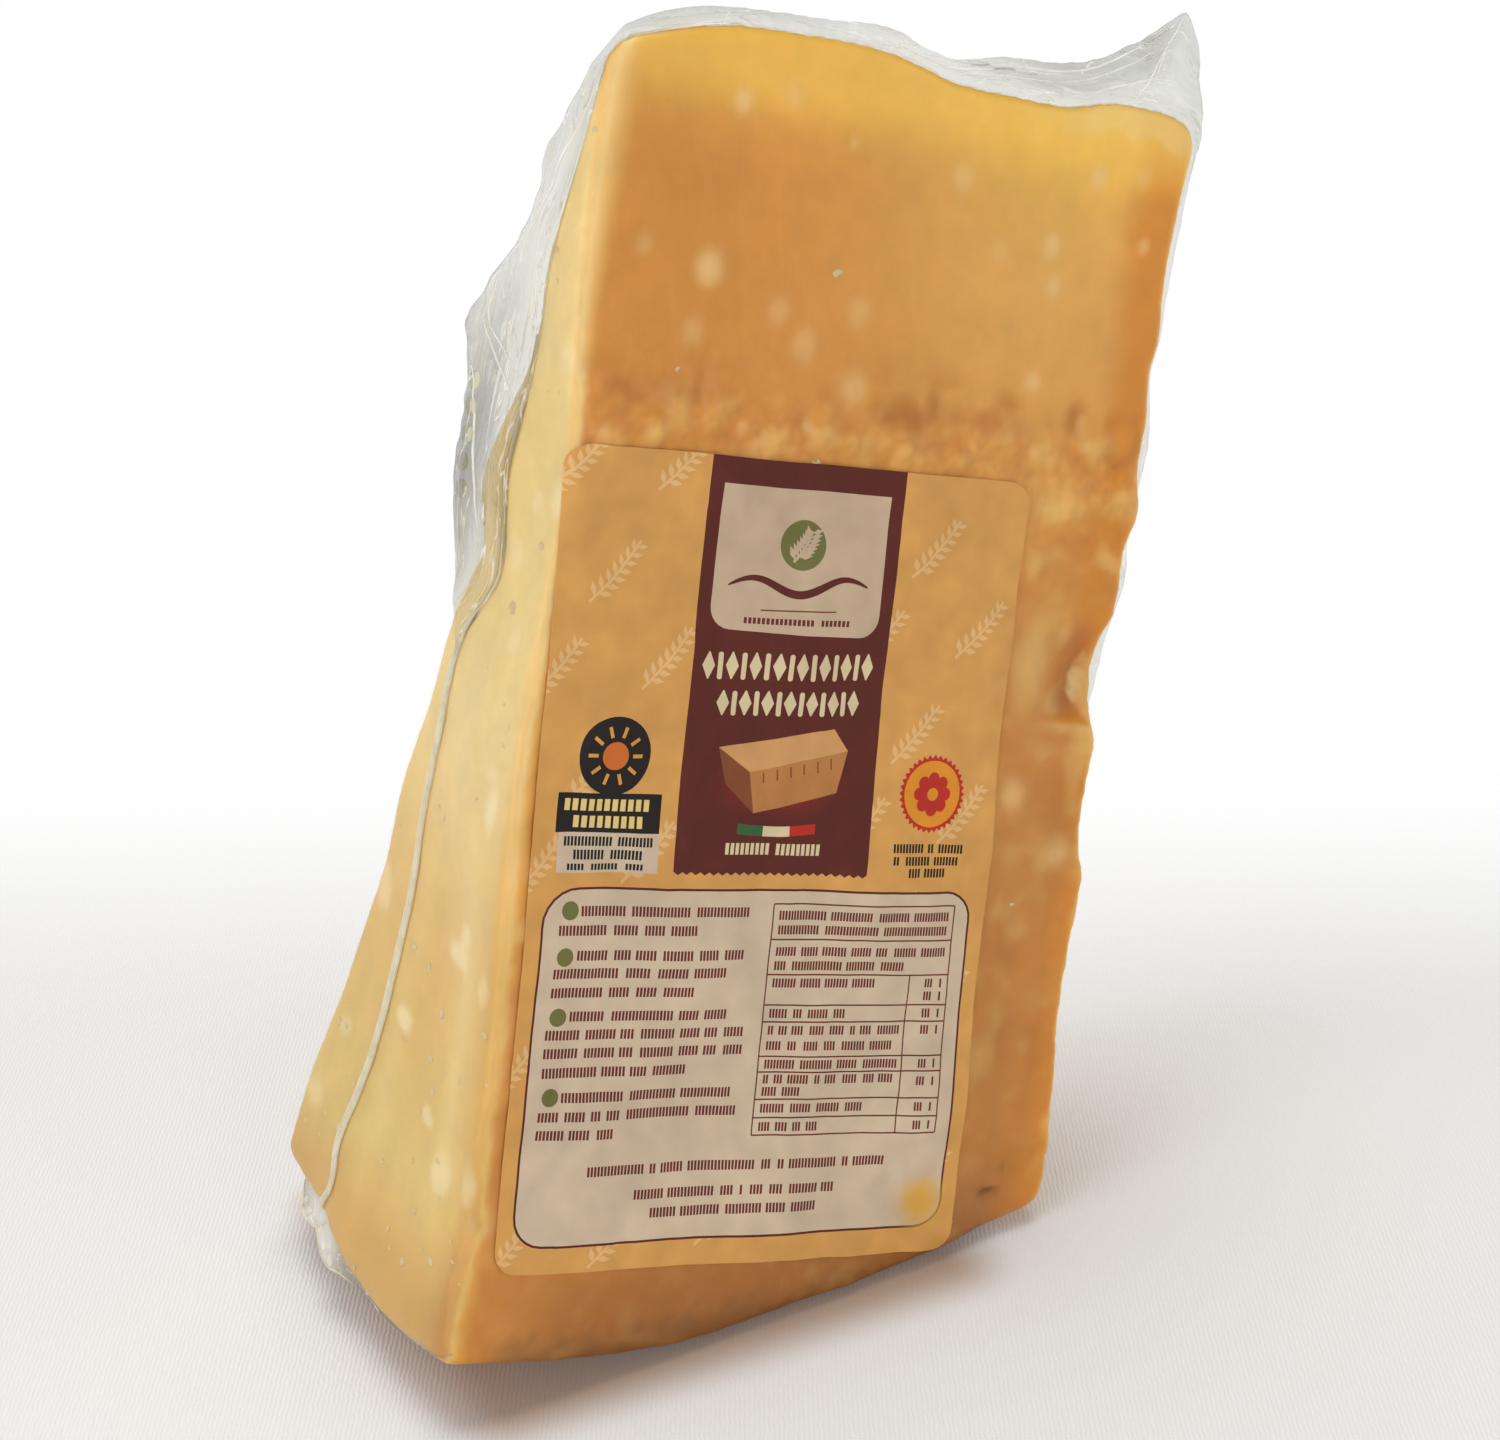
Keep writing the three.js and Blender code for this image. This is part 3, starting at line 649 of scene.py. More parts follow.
# ---- Film bag --------------------------------------------------------------------------------
# A clear vacuum bag of thin film. It clings to the cheese all round, and where its two sheets
# are welded it stands off as a loose, crumpled margin: up the left face, over the apex and down
# the right face. High on the left the weld is pressed into ribs.

FILM_CLEARANCE = 0.16
FILM_BRIDGE = 0.9
SHEET_GAP = 0.12
MARGIN_ROWS = 27
COURSE_STEP = 0.55

# The seam's depth down the left face and the margin's height, by place along each stretch: down the
# left face, across the apex, down the rind, and along the foot.
SEAM_DEPTH = [
    (-206, 19.6), (-201.7, 16.6), (-196.6, 12.6), (-190, 14.2), (-178, 12.3), (-158, 9.2),
    (-142, 10), (-128, 12.2), (-114, 12), (-94, 8.9), (-87, 4.6), (-66, 4.8), (-52, 5.6), (0, 0),
]
LEFT_MARGIN = [
    (-205, 0.3), (-108, 0.3), (-99, 0.9), (-94, 3.2), (-89, 6.2), (-83, 8.4), (-78, 8.8),
    (-67, 8.8), (-56, 10.2), (-50, 11.8), (-45, 12.9), (-39, 9.3), (-34, 6.8), (-28, 5), (-22, 5),
    (-17, 6.2), (-12, 4.6), (-6, 3), (0, 1.8),
]
APEX_MARGIN = [
    (0, 1.8), (8, 2.8), (25, 2.8), (36, 3), (47, 3.8), (58, 3.2), (69, 5.8), (80, 6.8), (86, 7.6),
    (91, 8.6), (96, 11), (100, 14.6), (102, 16.4), (103.6, 16.4), (105, 13.8), (106, 8), (107, 5),
    (108.2, 3.4), (110.2, 2.2), (111.7, 1.4),
]
RIGHT_MARGIN = [
    (-110, 0.5), (-96, 1.4), (-91, 2.4), (-76, 2.6), (-70, 3.2), (-57, 1.8), (-51, 3), (-43, 2),
    (-30, 1.1), (-18, 2), (-8, 2), (0, 1.4),
]
FOOT_MARGIN = [
    (-38, 0.1), (-28, 0.5), (-10, 0.7), (-3, 1.2), (2, 2.6), (7, 4.4), (12, 4.8), (18, 4.4),
    (24, 4.4), (28, 2.4), (31, 0.3),
]


def clinging_film_material():
    """Clear film on the cheese: nearly all light passes, and its wet gloss shows in small glints."""
    material, add = new_material("clinging film")
    place = add("TexCoord").outputs["Object"]
    along = add("Mapping", {"Vector": place, "Rotation": (0, -LEAN, 0), "Scale": (1, 1, 0.3)}).outputs[0]
    fine = {"Vector": along, "Scale": 260, "Detail": 3, "Distortion": 0.4}
    creases = add("TexNoise", fine).outputs["Fac"]
    ripples = add("TexNoise", {"Vector": place, "Scale": 110, "Detail": 4}).outputs["Fac"]
    height = add("Math", {0: creases, 1: ripples}, operation="ADD").outputs[0]
    bump = add("Bump", {"Height": height, "Strength": 0.4, "Distance": 0.0007}).outputs[0]
    edge_on = add("LayerWeight", {"Blend": 0.5}).outputs["Facing"]
    steep = add("Math", {0: edge_on, 1: 5.0}, operation="POWER").outputs[0]
    share = remap(add, steep, (0, 1), (0.014, 0.2))
    clear = add("BsdfTransparent", {"Color": (0.99, 0.988, 0.98, 1)})
    mirror = add("BsdfGlossy", {"Color": (1, 1, 1, 1), "Roughness": 0.19, "Normal": bump})
    both = add("MixShader", {0: share, 1: clear.outputs[0], 2: mirror.outputs[0]})
    add("OutputMaterial", {"Surface": both.outputs[0]})
    return material


def loose_film_material():
    """Loose film: grey in its folds and dimmed further by painted shade on the flap and the ear, milky
    along its creases, and mirror-bright on their crests.
    """
    material, add = new_material("loose film")
    course = add("Attribute", attribute_name="course").outputs["Vector"]
    long_way = add("Mapping", {"Vector": course, "Scale": (0.09, 1, 1)}).outputs[0]
    streaks = {"Vector": long_way, "Scale": 0.5, "Detail": 2.5, "Distortion": 0.6}
    folds = add("TexNoise", streaks).outputs["Fac"]
    patches = add("TexNoise", {"Vector": long_way, "Scale": 0.22, "Detail": 2}).outputs["Fac"]
    clearness = remap(add, patches, (0.35, 0.65), (0.78, 0.93))
    # Painted shade: the film's tint is dimmed where its points say.
    dimmed = add("Attribute", attribute_name="dimmed").outputs["Fac"]
    tint = add("Math", {0: dimmed, 1: -0.2, 2: clearness}, operation="MULTIPLY_ADD").outputs[0]
    warm = add("Math", {0: tint, 1: 0.975}, operation="MULTIPLY").outputs[0]
    grey = add("CombineColor", {0: tint, 1: tint, 2: warm}).outputs[0]
    off_middle = add("Math", {0: folds, 1: 0.5}, operation="SUBTRACT").outputs[0]
    away = add("Math", {0: off_middle}, operation="ABSOLUTE").outputs[0]
    crease = remap(add, away, (0.002, 0.014), (0.7, 0.05))
    gathered = add("Attribute", attribute_name="gathered").outputs["Fac"]
    thick = add("Math", {0: gathered, 1: 0.6}, operation="MULTIPLY").outputs[0]
    milkiness = add("Math", {0: crease, 1: thick}, operation="MAXIMUM").outputs[0]
    bump = add("Bump", {"Height": folds, "Strength": 0.5, "Distance": 0.0012}).outputs[0]
    edge_on = add("LayerWeight", {"Blend": 0.5, "Normal": bump}).outputs["Facing"]
    steep = add("Math", {0: edge_on, 1: 4.0}, operation="POWER").outputs[0]
    share = remap(add, steep, (0, 1), (0.05, 0.5))
    clear = add("BsdfTransparent", {"Color": grey})
    milk = add("BsdfDiffuse", {"Color": (0.97, 0.955, 0.89, 1)})
    mirror = add("BsdfGlossy", {"Color": (1, 1, 1, 1), "Roughness": 0.15, "Normal": bump})
    body = add("MixShader", {0: milkiness, 1: clear.outputs[0], 2: milk.outputs[0]})
    both = add("MixShader", {0: share, 1: body.outputs[0], 2: mirror.outputs[0]})
    add("OutputMaterial", {"Surface": both.outputs[0]})
    return material


def clinging_film():
    """The film drawn onto the cheese by the vacuum: it bridges small hollows and creases lengthwise."""
    skin = new_piece("film_skin", cheese.data.copy())
    skin.data.materials.clear()
    skin.data.color_attributes.remove(skin.data.color_attributes[0])
    taut = relaxed(cheese_points, cheese_ends, 8, -0.40)
    lift = np.einsum("ij,ij->i", taut - cheese_points, cheese_outward)
    left = rises(-cheese_outward[:, 0], 0.4, 0.85)
    creases = np.clip(waves(cheese_points, 2.6, 4.1, (1, 1, 9)), 0, 1) * 0.3 * left
    lift = np.clip(lift, 0, FILM_BRIDGE) + creases + FILM_CLEARANCE
    move_to(skin.data, to_row(cheese_points + cheese_outward * lift[:, None]))
    return skin


film_skin = clinging_film()
film_skin.data.materials.append(clinging_film_material())
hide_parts("film_bag")
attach(film_skin, "root")

skin_points = to_wedge(read_all(film_skin.data.vertices, "co", 3))
skin_polygons = [tuple(face.vertices) for face in film_skin.data.polygons]
skin_tree = BVHTree.FromPolygons([Vector(point) for point in skin_points], skin_polygons)


def margin_course():
    """Places along the weld: a point near it, which way is out, and the margin's height."""
    course = []

    def add_place(x, y, z, quarter_turns, height):
        turn = quarter_turns * math.pi / 2
        course.append((x, y, z, -math.sin(turn), -math.cos(turn), height))

    for z in np.arange(-WHEEL_RADIUS + 7, -3, COURSE_STEP):
        add_place(0, float(curve_through(SEAM_DEPTH, z)), z, 1, float(curve_through(LEFT_MARGIN, z)))
    for x in np.arange(0.5, 105, COURSE_STEP):
        turn = 1.4 + 0.6 * float(rises(x, 0, 20))
        add_place(x, 0, 3, turn, float(curve_through(APEX_MARGIN, x)))
    for turn in np.linspace(2.04, 2.95, 16):
        lean_out = (turn - 2) * 7
        add_place(105.5, 0, 1.5, turn, float(curve_through(APEX_MARGIN, 105 + lean_out)))
    for z in np.arange(-1.5, -118, -COURSE_STEP):
        y = -0.6 * -z * math.tan(HALF_ANGLE) * float(rises(-z, 0, 30))
        add_place(WEDGE_WIDTH, y, z, 3, float(curve_through(RIGHT_MARGIN, z)))
    return np.array(course)


def on_skin(x, y, z, out_x, out_z):
    """Where a line from well outside meets the clinging film."""
    outward = Vector((out_x, 0, out_z))
    start = Vector((x, y, z)) + outward * 40
    hit = skin_tree.ray_cast(start, -outward)[0]
    return np.array(hit if hit else (x, y, z))


def ridges(places, size, shift, stretch):
    """Noise with sharp crests, from 0 to 1."""
    return (1 - np.abs(waves(places, size, shift, stretch)) * 1.7).clip(0, 1) ** 2


def foot_course():
    """Places along the left edge of the rind, where the end of the bag is gathered and folded under."""
    course = []
    for y in np.arange(31, -38, -COURSE_STEP):
        z = -math.sqrt(WHEEL_RADIUS ** 2 - y * y)
        height = float(curve_through(FOOT_MARGIN, y))
        course.append((2, y, z + 2, -math.sqrt(0.5), -math.sqrt(0.5), height))
    return np.array(course)


def margin_sheets(course, aside, gathered):
    """Two sheets of film that part at the cheese and are welded at their free edge, crumpled."""
    feet = np.array([on_skin(*place[:5]) for place in course])
    outward = np.stack([course[:, 3], np.zeros(len(course)), course[:, 4]], axis=1)
    steps = np.linalg.norm(np.diff(feet + outward * 3, axis=0), axis=1)
    far = np.concatenate([[0], np.cumsum(steps)])
    rise = np.linspace(0, 1, MARGIN_ROWS)
    height = course[:, 5] * (1 + 0.05 * waves(np.stack([far, far * 0, far * 0], 1), 3.1, 2.5))
    rings = []
    places = []
    for side, rows in ((-1, rise), (1, rise[::-1])):
        for level in rows:
            place = np.stack([far, level * np.minimum(height, 12), np.full_like(far, 3.0 * side)], axis=1)
            long_folds = ridges(place, 4.5, 5.5, (7, 1, 1)) * 1.4 - 0.7
            long_folds += waves(place, 1.8, 8.5, (9, 1, 1)) * 0.3
            cross_folds = waves(place, 2.6, 1.5, (1, 3, 3)) * 0.45
            crumple = (ridges(place, 3.2, 6.1, (1, 1, 1)) * 2.0 - 1.0) * gathered
            loose = np.minimum(1, height / 5) * level ** 0.6
            open_foot = (1.1 + 1.6 * gathered) * (1 - level) ** (2.2 - gathered)
            open_foot = open_foot * np.minimum(1, height / 4)
            sway = loose * (long_folds + cross_folds + crumple + 0.6 * np.sin(far / 11))
            point = feet + outward * (height * level - 0.25 + loose * crumple * 0.5)[:, None]
            point += aside * (side * (SHEET_GAP + open_foot) + sway)[:, None]
            rings.append(point)
            places.append(place)
    return np.stack(rings, axis=1), np.stack(places, axis=1)


def tube_mesh(name, rings):
    """A closed tube through rings of points, with a cap on each end."""
    count, around = rings.shape[:2]
    faces = []
    for i in range(count - 1):
        for k in range(around):
            here = k + i * around
            after = (k + 1) % around + i * around
            faces.append((here, after, after + around, here + around))
    for first in (0, (count - 1) * around):
        for k in range(around // 2 - 1):
            faces.append((first + k, first + k + 1, first + around - 2 - k, first + around - 1 - k))
    mesh = bpy.data.meshes.new(name)
    mesh.from_pydata([tuple(point) for point in to_row(rings.reshape(-1, 3))], [], faces)
    net = bmesh.new()
    net.from_mesh(mesh)
    bmesh.ops.recalc_face_normals(net, faces=net.faces)
    net.to_mesh(mesh)
    net.free()
    mesh.shade_smooth()
    return mesh


def film_piece(name, rings, places, dimmed, gathered):
    """A margin of loose film, with what its material reads kept on its points."""
    piece = new_piece(name, tube_mesh(name, rings))
    keep_on_points(piece.data, "course", places.reshape(-1, 3))
    for key, share in (("dimmed", dimmed), ("gathered", gathered)):
        keep_on_points(piece.data, key, np.broadcast_to(share, rings.shape[:2]).ravel())
    piece.data.materials.append(loose_film)
    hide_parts("film_bag")
    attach(piece, "root")


loose_film = loose_film_material()
weld_course = margin_course()
margin_rings, margin_places = margin_sheets(weld_course, np.array([[0.0, 1.0, 0.0]]), 0.0)
margin_x = margin_rings[:, :, 0]
margin_z = margin_rings[:, :, 2]
sheet_level = np.linspace(0, 1, MARGIN_ROWS)
sheet_level = np.concatenate([sheet_level, sheet_level[::-1]])
# Painted shade: the flap and the ear are dimmed in the film's tint.
flap = hump(margin_z, -66, 17) * rises(-margin_x, 0, 2)
ear = 0.7 * rises(margin_z, 0, 3) * rises(margin_x, 60, 88) * (1 - 0.7 * rises(margin_x, 99, 104))
margin_dimmed = (flap + ear) * rises(sheet_level, 0.15, 0.5)
film_piece("film_margin", margin_rings, margin_places, margin_dimmed, 0.0)

end_course = foot_course()
end_bunch = hump(end_course[:, 1], 15, 10)
across_end = np.array([[math.sqrt(0.5), 0.0, -math.sqrt(0.5)]])
end_rings, end_places = margin_sheets(end_course, across_end, end_bunch)
end_milk = np.clip(1.2 * end_bunch + 0.1, 0, 1)[:, None]
film_piece("film_end", end_rings, end_places + (200, 0, 0), 0.0, end_milk)

# ---- Weld of the bag -------------------------------------------------------------------------
# Where the sheets are welded the film is thick and whitish: three close beads run down the left
# face and one along the gathered end, the free edge high on the left is pressed into a row of small
# pillows, and a few long folds of the margin lie sharp and milky.

BEAD_RADIUS = 0.34
BEAD_SPACING = 1.3
RIB_PITCH = 4.3
RIB_SIZE = (0.0022, 0.0008, 0.0036)
RIB_INSET = (1.1, 0, 0)
RIBS_MIDDLE = -63
RIBS_REACH = 9
FOLD_RADIUS = 0.17
FOLD_STEPS = 24

# Folds: where each begins, by height on the flap or by place on the crest, and at what level of the
# margin, where and at what level it ends, and its bow.
FLAP_FOLDS = [
    (-6, 0.25, -34, 1, 0), (-37, 0.95, -53, 0.25, 0.1), (-44, 0.8, -57, 0.2, 0.06),
    (-52, 0.95, -80, 0.5, 0),
]
CREST_FOLDS = [
    (40, 0.3, 84, 0.75, 0.1), (58, 0.8, 101, 0.92, -0.05), (62, 0.5, 102, 0.75, -0.06),
    (72, 0.15, 104, 0.42, 0), (99.5, 0.3, 102.5, 0.95, 0), (97, 0.1, 101, 0.7, 0),
]


def path_piece(name, lines, thickness):
    """A piece that holds only paths, in the wedge's frame, for Geometry Nodes to follow."""
    points = [tuple(point) for line in lines for point in to_row(line)]
    ends = []
    first = 0
    for line in lines:
        ends += [(first + k, first + k + 1) for k in range(len(line) - 1)]
        first += len(line)
    mesh = bpy.data.meshes.new(name)
    mesh.from_pydata(points, ends, [])
    keep_on_points(mesh, "thickness", np.concatenate(thickness))
    return new_piece(name, mesh)


def bead_group():
    """A round bead along each path, as thick as the path's points say and closed at its ends."""
    group, start, end, add = geometry_group("weld bead", {"Radius": "Float", "Material": "Material"})
    path = add("MeshToCurve", {0: start["Geometry"]}).outputs[0]
    even = add("ResampleCurve", {0: path, "Length": 0.0008}, mode="LENGTH").outputs[0]
    section = add("CurvePrimitiveCircle", {"Resolution": 10, "Radius": start["Radius"]}).outputs[0]
    thickness = add("InputNamedAttribute", {"Name": "thickness"}, data_type="FLOAT").outputs["Attribute"]
    tube = {0: even, "Profile Curve": section, "Scale": thickness, "Fill Caps": True}
    return dress(group, start, end, add, add("CurveToMesh", tube).outputs[0])


def rib_group():
    """A soft pillow at every pitch along each path, its long side across the path."""
    inputs = {"Pitch": "Float", "Size": "Vector", "Material": "Material"}
    group, start, end, add = geometry_group("weld ribs", inputs)
    path = add("MeshToCurve", {0: start["Geometry"]}).outputs[0]
    places = add("CurveToPoints", {0: path, "Length": start["Pitch"]}, mode="LENGTH").outputs
    block = add("MeshCube", {"Size": start["Size"]}).outputs[0]
    pillow = add("SubdivisionSurface", {0: block, "Level": 2}).outputs[0]
    placed = {"Points": places["Points"], "Instance": pillow, "Rotation": places["Rotation"]}
    return dress(group, start, end, add, add("InstanceOnPoints", placed).outputs[0])


def weld_material(name, colour, least, most):
    """Thick film, milky inside and glossy outside, from the least share of milk to the most."""
    material, add = new_material(name)
    place = add("TexCoord").outputs["Object"]
    cloud = add("TexNoise", {"Vector": place, "Scale": 160, "Detail": 2}).outputs["Fac"]
    milkiness = remap(add, cloud, (0.35, 0.65), (least, most))
    bump = add("Bump", {"Height": cloud, "Strength": 0.1, "Distance": 0.0004}).outputs[0]
    clear = add("BsdfTransparent", {"Color": (0.97, 0.965, 0.95, 1)})
    milk = add("BsdfPrincipled", {"Base Color": colour, "Roughness": 0.3, "Normal": bump})
    both = add("MixShader", {0: milkiness, 1: clear.outputs[0], 2: milk.outputs[0]})
    add("OutputMaterial", {"Surface": both.outputs[0]})
    return material


def free_edge(rings):
    """The line between two sheets where they are welded together."""
    return (rings[:, MARGIN_ROWS - 1] + rings[:, MARGIN_ROWS]) / 2


weld = weld_material("weld", (0.92, 0.88, 0.7, 1), 0.3, 0.6)
crease = weld_material("crease", (1.0, 0.99, 0.95, 1), 0.6, 0.9)
down_left = np.arange(-46, -WHEEL_RADIUS + 1, -1.0)
seam_depth = curve_through(SEAM_DEPTH, down_left)
sway = 0.25 * waves(np.stack([down_left * 0, down_left * 0, down_left], axis=1), 6, 2.2)
bead_spacing = BEAD_SPACING * rises(-down_left, 82, 98)
bead_lines = []
for side in (-0.5, 0, 0.5):
    depth = seam_depth + sway + side * bead_spacing
    foot = [on_skin(0, y, z, -1, 0) for y, z in zip(depth, down_left)]
    bead_lines.append(np.array(foot) + (-0.6 * BEAD_RADIUS, 0, 0))
bead_thickness = [0.35 + 0.65 * rises(-down_left, 84, 102)] * len(bead_lines)
end_thickness = 0.9 * rises(end_course[:, 5], 0.5, 4.0)
gathered_part = end_thickness > 0.06
bead_lines.append(free_edge(end_rings)[gathered_part])
bead_thickness.append(end_thickness[gathered_part])
weld_bead = path_piece("weld_bead", bead_lines, bead_thickness)
apply_group(weld_bead, bead_group(), {"Radius": BEAD_RADIUS / 1000, "Material": weld})

edge_x, _, edge_z = margin_rings[:, MARGIN_ROWS - 1].T
beside_apex = (np.abs(edge_z - RIBS_MIDDLE) < RIBS_REACH) & (edge_x < 0)
rib_line = free_edge(margin_rings)[beside_apex] + RIB_INSET
weld_ribs = path_piece("weld_ribs", [rib_line], [np.ones(len(rib_line))])
apply_group(weld_ribs, rib_group(), {"Pitch": RIB_PITCH / 1000, "Size": RIB_SIZE, "Material": weld})


def fold_line(start, start_level, end, end_level, bow):
    """A crease across the front sheet of the margin, from one place on its course and level to another."""
    line = []
    for t in np.linspace(0, 1, FOLD_STEPS):
        level = start_level + (end_level - start_level) * t + bow * math.sin(math.pi * t)
        row = level * (MARGIN_ROWS - 1)
        place = start + (end - start) * t
        lower = min(int(row), MARGIN_ROWS - 2)
        share = row - lower
        index = int(place)
        part = place - index
        corners = margin_rings[index:index + 2, lower:lower + 2]
        near, far = corners[:, 0] * (1 - share) + corners[:, 1] * share
        line.append(near * (1 - part) + far * part)
    return np.array(line) + (0, -0.05, 0)


def course_index(axis, value, places):
    """Where along the margin's course, among the given places, its foot has that value."""
    return float(places[np.argmin(np.abs(margin_rings[places, 0, axis] - value))])


left_places = np.flatnonzero(weld_course[:, 3] < -0.95)
crest_places = np.flatnonzero(weld_course[:, 4] > 0.85)
fold_lines = []
for axis, places, folds in ((2, left_places, FLAP_FOLDS), (0, crest_places, CREST_FOLDS)):
    for start, start_level, end, end_level, bow in folds:
        first = course_index(axis, start, places)
        last = course_index(axis, end, places)
        fold_lines.append(fold_line(first, start_level, last, end_level, bow))
tapered = 0.3 + np.sin(np.linspace(0.1, math.pi - 0.1, FOLD_STEPS))
film_folds = path_piece("film_folds", fold_lines, [tapered] * len(fold_lines))
apply_group(film_folds, bead_group(), {"Radius": FOLD_RADIUS / 1000, "Material": crease})
for piece in (weld_bead, weld_ribs, film_folds):
    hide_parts("film_bag")
    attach(piece, "root")

# ---- Label -----------------------------------------------------------------------------------
# A paper label stuck on the film over the front face. Its print is flat inks in simple shapes:
# an orange ground with pale sprigs, a dark red band, round marks and a ruled panel below.
# Places on it are millimetres from its top left corner, across and down.

LABEL_WIDTH = 86
LABEL_HEIGHT = 132
LABEL_TURN = math.radians(1.9)
LABEL_CENTRE = (46.3, 124.5)
LABEL_LIFT = 0.32
PAPER_THICKNESS = 0.00016
EDGE_RADIUS = 3
RIND_RADIUS = [(0, 205), (28, 204.8), (46, 202.1), (67, 195.8), (88, 189.2), (110, 180)]

GROUND = (212, 155, 82)
PALE = (224, 178, 118)
DARK_RED = (90, 30, 18)
PANEL = (206, 184, 157)
# Painted shade: the panel paper a little darker in the upper panel.
UPPER_PANEL_SHADED = (196, 170, 142)
TEXT_RED = (104, 38, 28)
OLIVE = (110, 108, 56)
INK_BLACK = (26, 17, 15)
CREAM = (216, 196, 156)
SIGNAL_RED = (186, 40, 24)
SEAL_YELLOW = (222, 142, 34)
LEAF_GREEN = (52, 96, 50)
TAN = (184, 122, 66)
TAN_LIGHT = (206, 152, 94)
TAN_DARK = (128, 70, 36)
RAY_GOLD = (214, 150, 62)
SUN_ORANGE = (206, 106, 40)
BAR_YELLOW = (226, 196, 120)
RUBBED = (216, 164, 70)

# Sharp creases of the paper: place across, place down, turn in degrees, half length, height.
CREASES = [
    (75, 32, 25, 6, 0.32), (70, 39, -8, 9, 0.22), (28, 64, -65, 4, 0.3), (24, 68, 86, 5, 0.18),
    (48, 69, 88, 6, 0.15), (20, 33, 20, 7, 0.16), (60, 30, 80, 5, 0.14), (10, 68, 5, 6, 0.14),
    (38, 98, 84, 9, 0.12),
]

READING_STEP = 1.5
EASING_ROUNDS = 5
LEAST_LIFT = 0.2
LONGEST_EDGE = 1.4
WORD_GAP = 1.0
TICK_SHARE = 0.68
SMALL_PITCH = 0.56
HAIRLINE = 0.22
RULE_WIDTH = 0.26
label_shapes = []


def shape(colour, points):
    """Adds a flat field of ink, which lies on all that are there already."""
    points = np.array(points, dtype=float)
    following = np.roll(points, -1, axis=0)
    cuts = np.maximum(1, (np.linalg.norm(following - points, axis=1) / LONGEST_EDGE).astype(int))
    sides = zip(points, following, cuts)
    points = np.concatenate([a + (b - a) * np.arange(n)[:, None] / n for a, b, n in sides])
    following = np.roll(points, -1, axis=0)
    area = (points[:, 0] * following[:, 1] - following[:, 0] * points[:, 1]).sum()
    label_shapes.append((colour, points if area > 0 else points[::-1]))


def arc(cx, cy, radius, start, end, steps):
    turns = np.linspace(start, end, steps)
    return [(cx + radius * math.cos(turn), cy + radius * math.sin(turn)) for turn in turns]


def box(colour, left, top, right, bottom, radii=(0, 0, 0, 0)):
    """A rectangle with its corners rounded: top left, top right, bottom right, bottom left."""
    corners = ((left, top, 1, 1), (right, top, -1, 1), (right, bottom, -1, -1), (left, bottom, 1, -1))
    points = []
    for k, ((x, y, inward_x, inward_y), radius) in enumerate(zip(corners, radii)):
        start = math.pi * (1 + 0.5 * k)
        steps = 7 if radius else 1
        middle = (x + inward_x * radius, y + inward_y * radius)
        points += arc(*middle, radius, start, start + math.pi / 2, steps)
    shape(colour, points)


def disc(colour, cx, cy, radius, steps=40):
    shape(colour, arc(cx, cy, radius, 0, 2 * math.pi * (1 - 1 / steps), steps))


def stroke(colour, places, width):
    """A line of one width along places, square at its ends."""
    places = np.array(places, dtype=float)
    direction = np.gradient(places, axis=0)
    direction /= np.linalg.norm(direction, axis=1)[:, None]
    aside = np.stack([-direction[:, 1], direction[:, 0]], axis=1) * np.reshape(width, (-1, 1)) / 2
    shape(colour, np.concatenate([places + aside, (places - aside)[::-1]]))


def hatched_line(colour, left, middle, right, height, words, pitch=0.62, rise=0.0):
    """A line of print as even ticks in groups, from left to right about its middle."""
    lengths = np.array(words, dtype=float)
    lengths *= (right - left - WORD_GAP * (len(words) - 1)) / lengths.sum()
    start = left
    for length in lengths:
        for k in range(max(1, round(length / pitch))):
            x = start + k * pitch
            y = middle + rise * (x - left)
            box(colour, x, y - height / 2, x + pitch * TICK_SHARE, y + height / 2)
        start += length + WORD_GAP


def caption(*lines):
    """Dark lines of small print: left, middle, right, height and the lengths of the words."""
    for left, middle, right, height, words in lines:
        hatched_line(INK_BLACK, left, middle, right, height, words)


def sprig(colour, cx, cy, turn, size):
    """A slanting stalk with a leaf on each side of every joint."""
    heading = np.array((math.cos(turn), math.sin(turn)))
    side = np.array((-heading[1], heading[0]))
    foot = np.array((cx, cy)) - heading * size / 2
    stalk = [foot + heading * size * t + side * 0.5 * math.sin(3 * t) for t in np.linspace(0, 1, 9)]
    stroke(colour, stalk, 0.5)
    for k in range(1, 8):
        for way in (-1, 1):
            root = stalk[k] + heading * 0.4 * way
            tip = root + heading * 1.5 + side * way * (2.3 - 0.12 * k)
            belly = (root + tip) / 2
            across = np.array((-(tip - root)[1], (tip - root)[0])) * 0.2
            shape(colour, [root, belly + across, tip, belly - across])


box(GROUND, 0, 0, LABEL_WIDTH, LABEL_HEIGHT, (4, 4, 4, 4))
for row in range(9):
    for column in range(5):
        sprig_x = 1 + 19.5 * column + 9 * (row % 2)
        sprig_y = 4 + 15.6 * row - 2.5 * column
        if 0.5 < sprig_x < LABEL_WIDTH - 0.5 and 1 < sprig_y < LABEL_HEIGHT - 1:
            sprig(PALE, sprig_x, sprig_y, math.radians(-50), 13)

# The dark band, cut off in teeth below, and the pale panel on it with its round mark.
BAND_LEFT = 25.3
BAND_RIGHT = 61.4
TEETH = 22
teeth = []
for k in range(2 * TEETH + 1):
    teeth.append((BAND_RIGHT - (BAND_RIGHT - BAND_LEFT) * k / (2 * TEETH), 66.9 + 0.5 * (k % 2)))
shape(DARK_RED, [(BAND_LEFT, -1), (BAND_RIGHT, -1), *teeth])
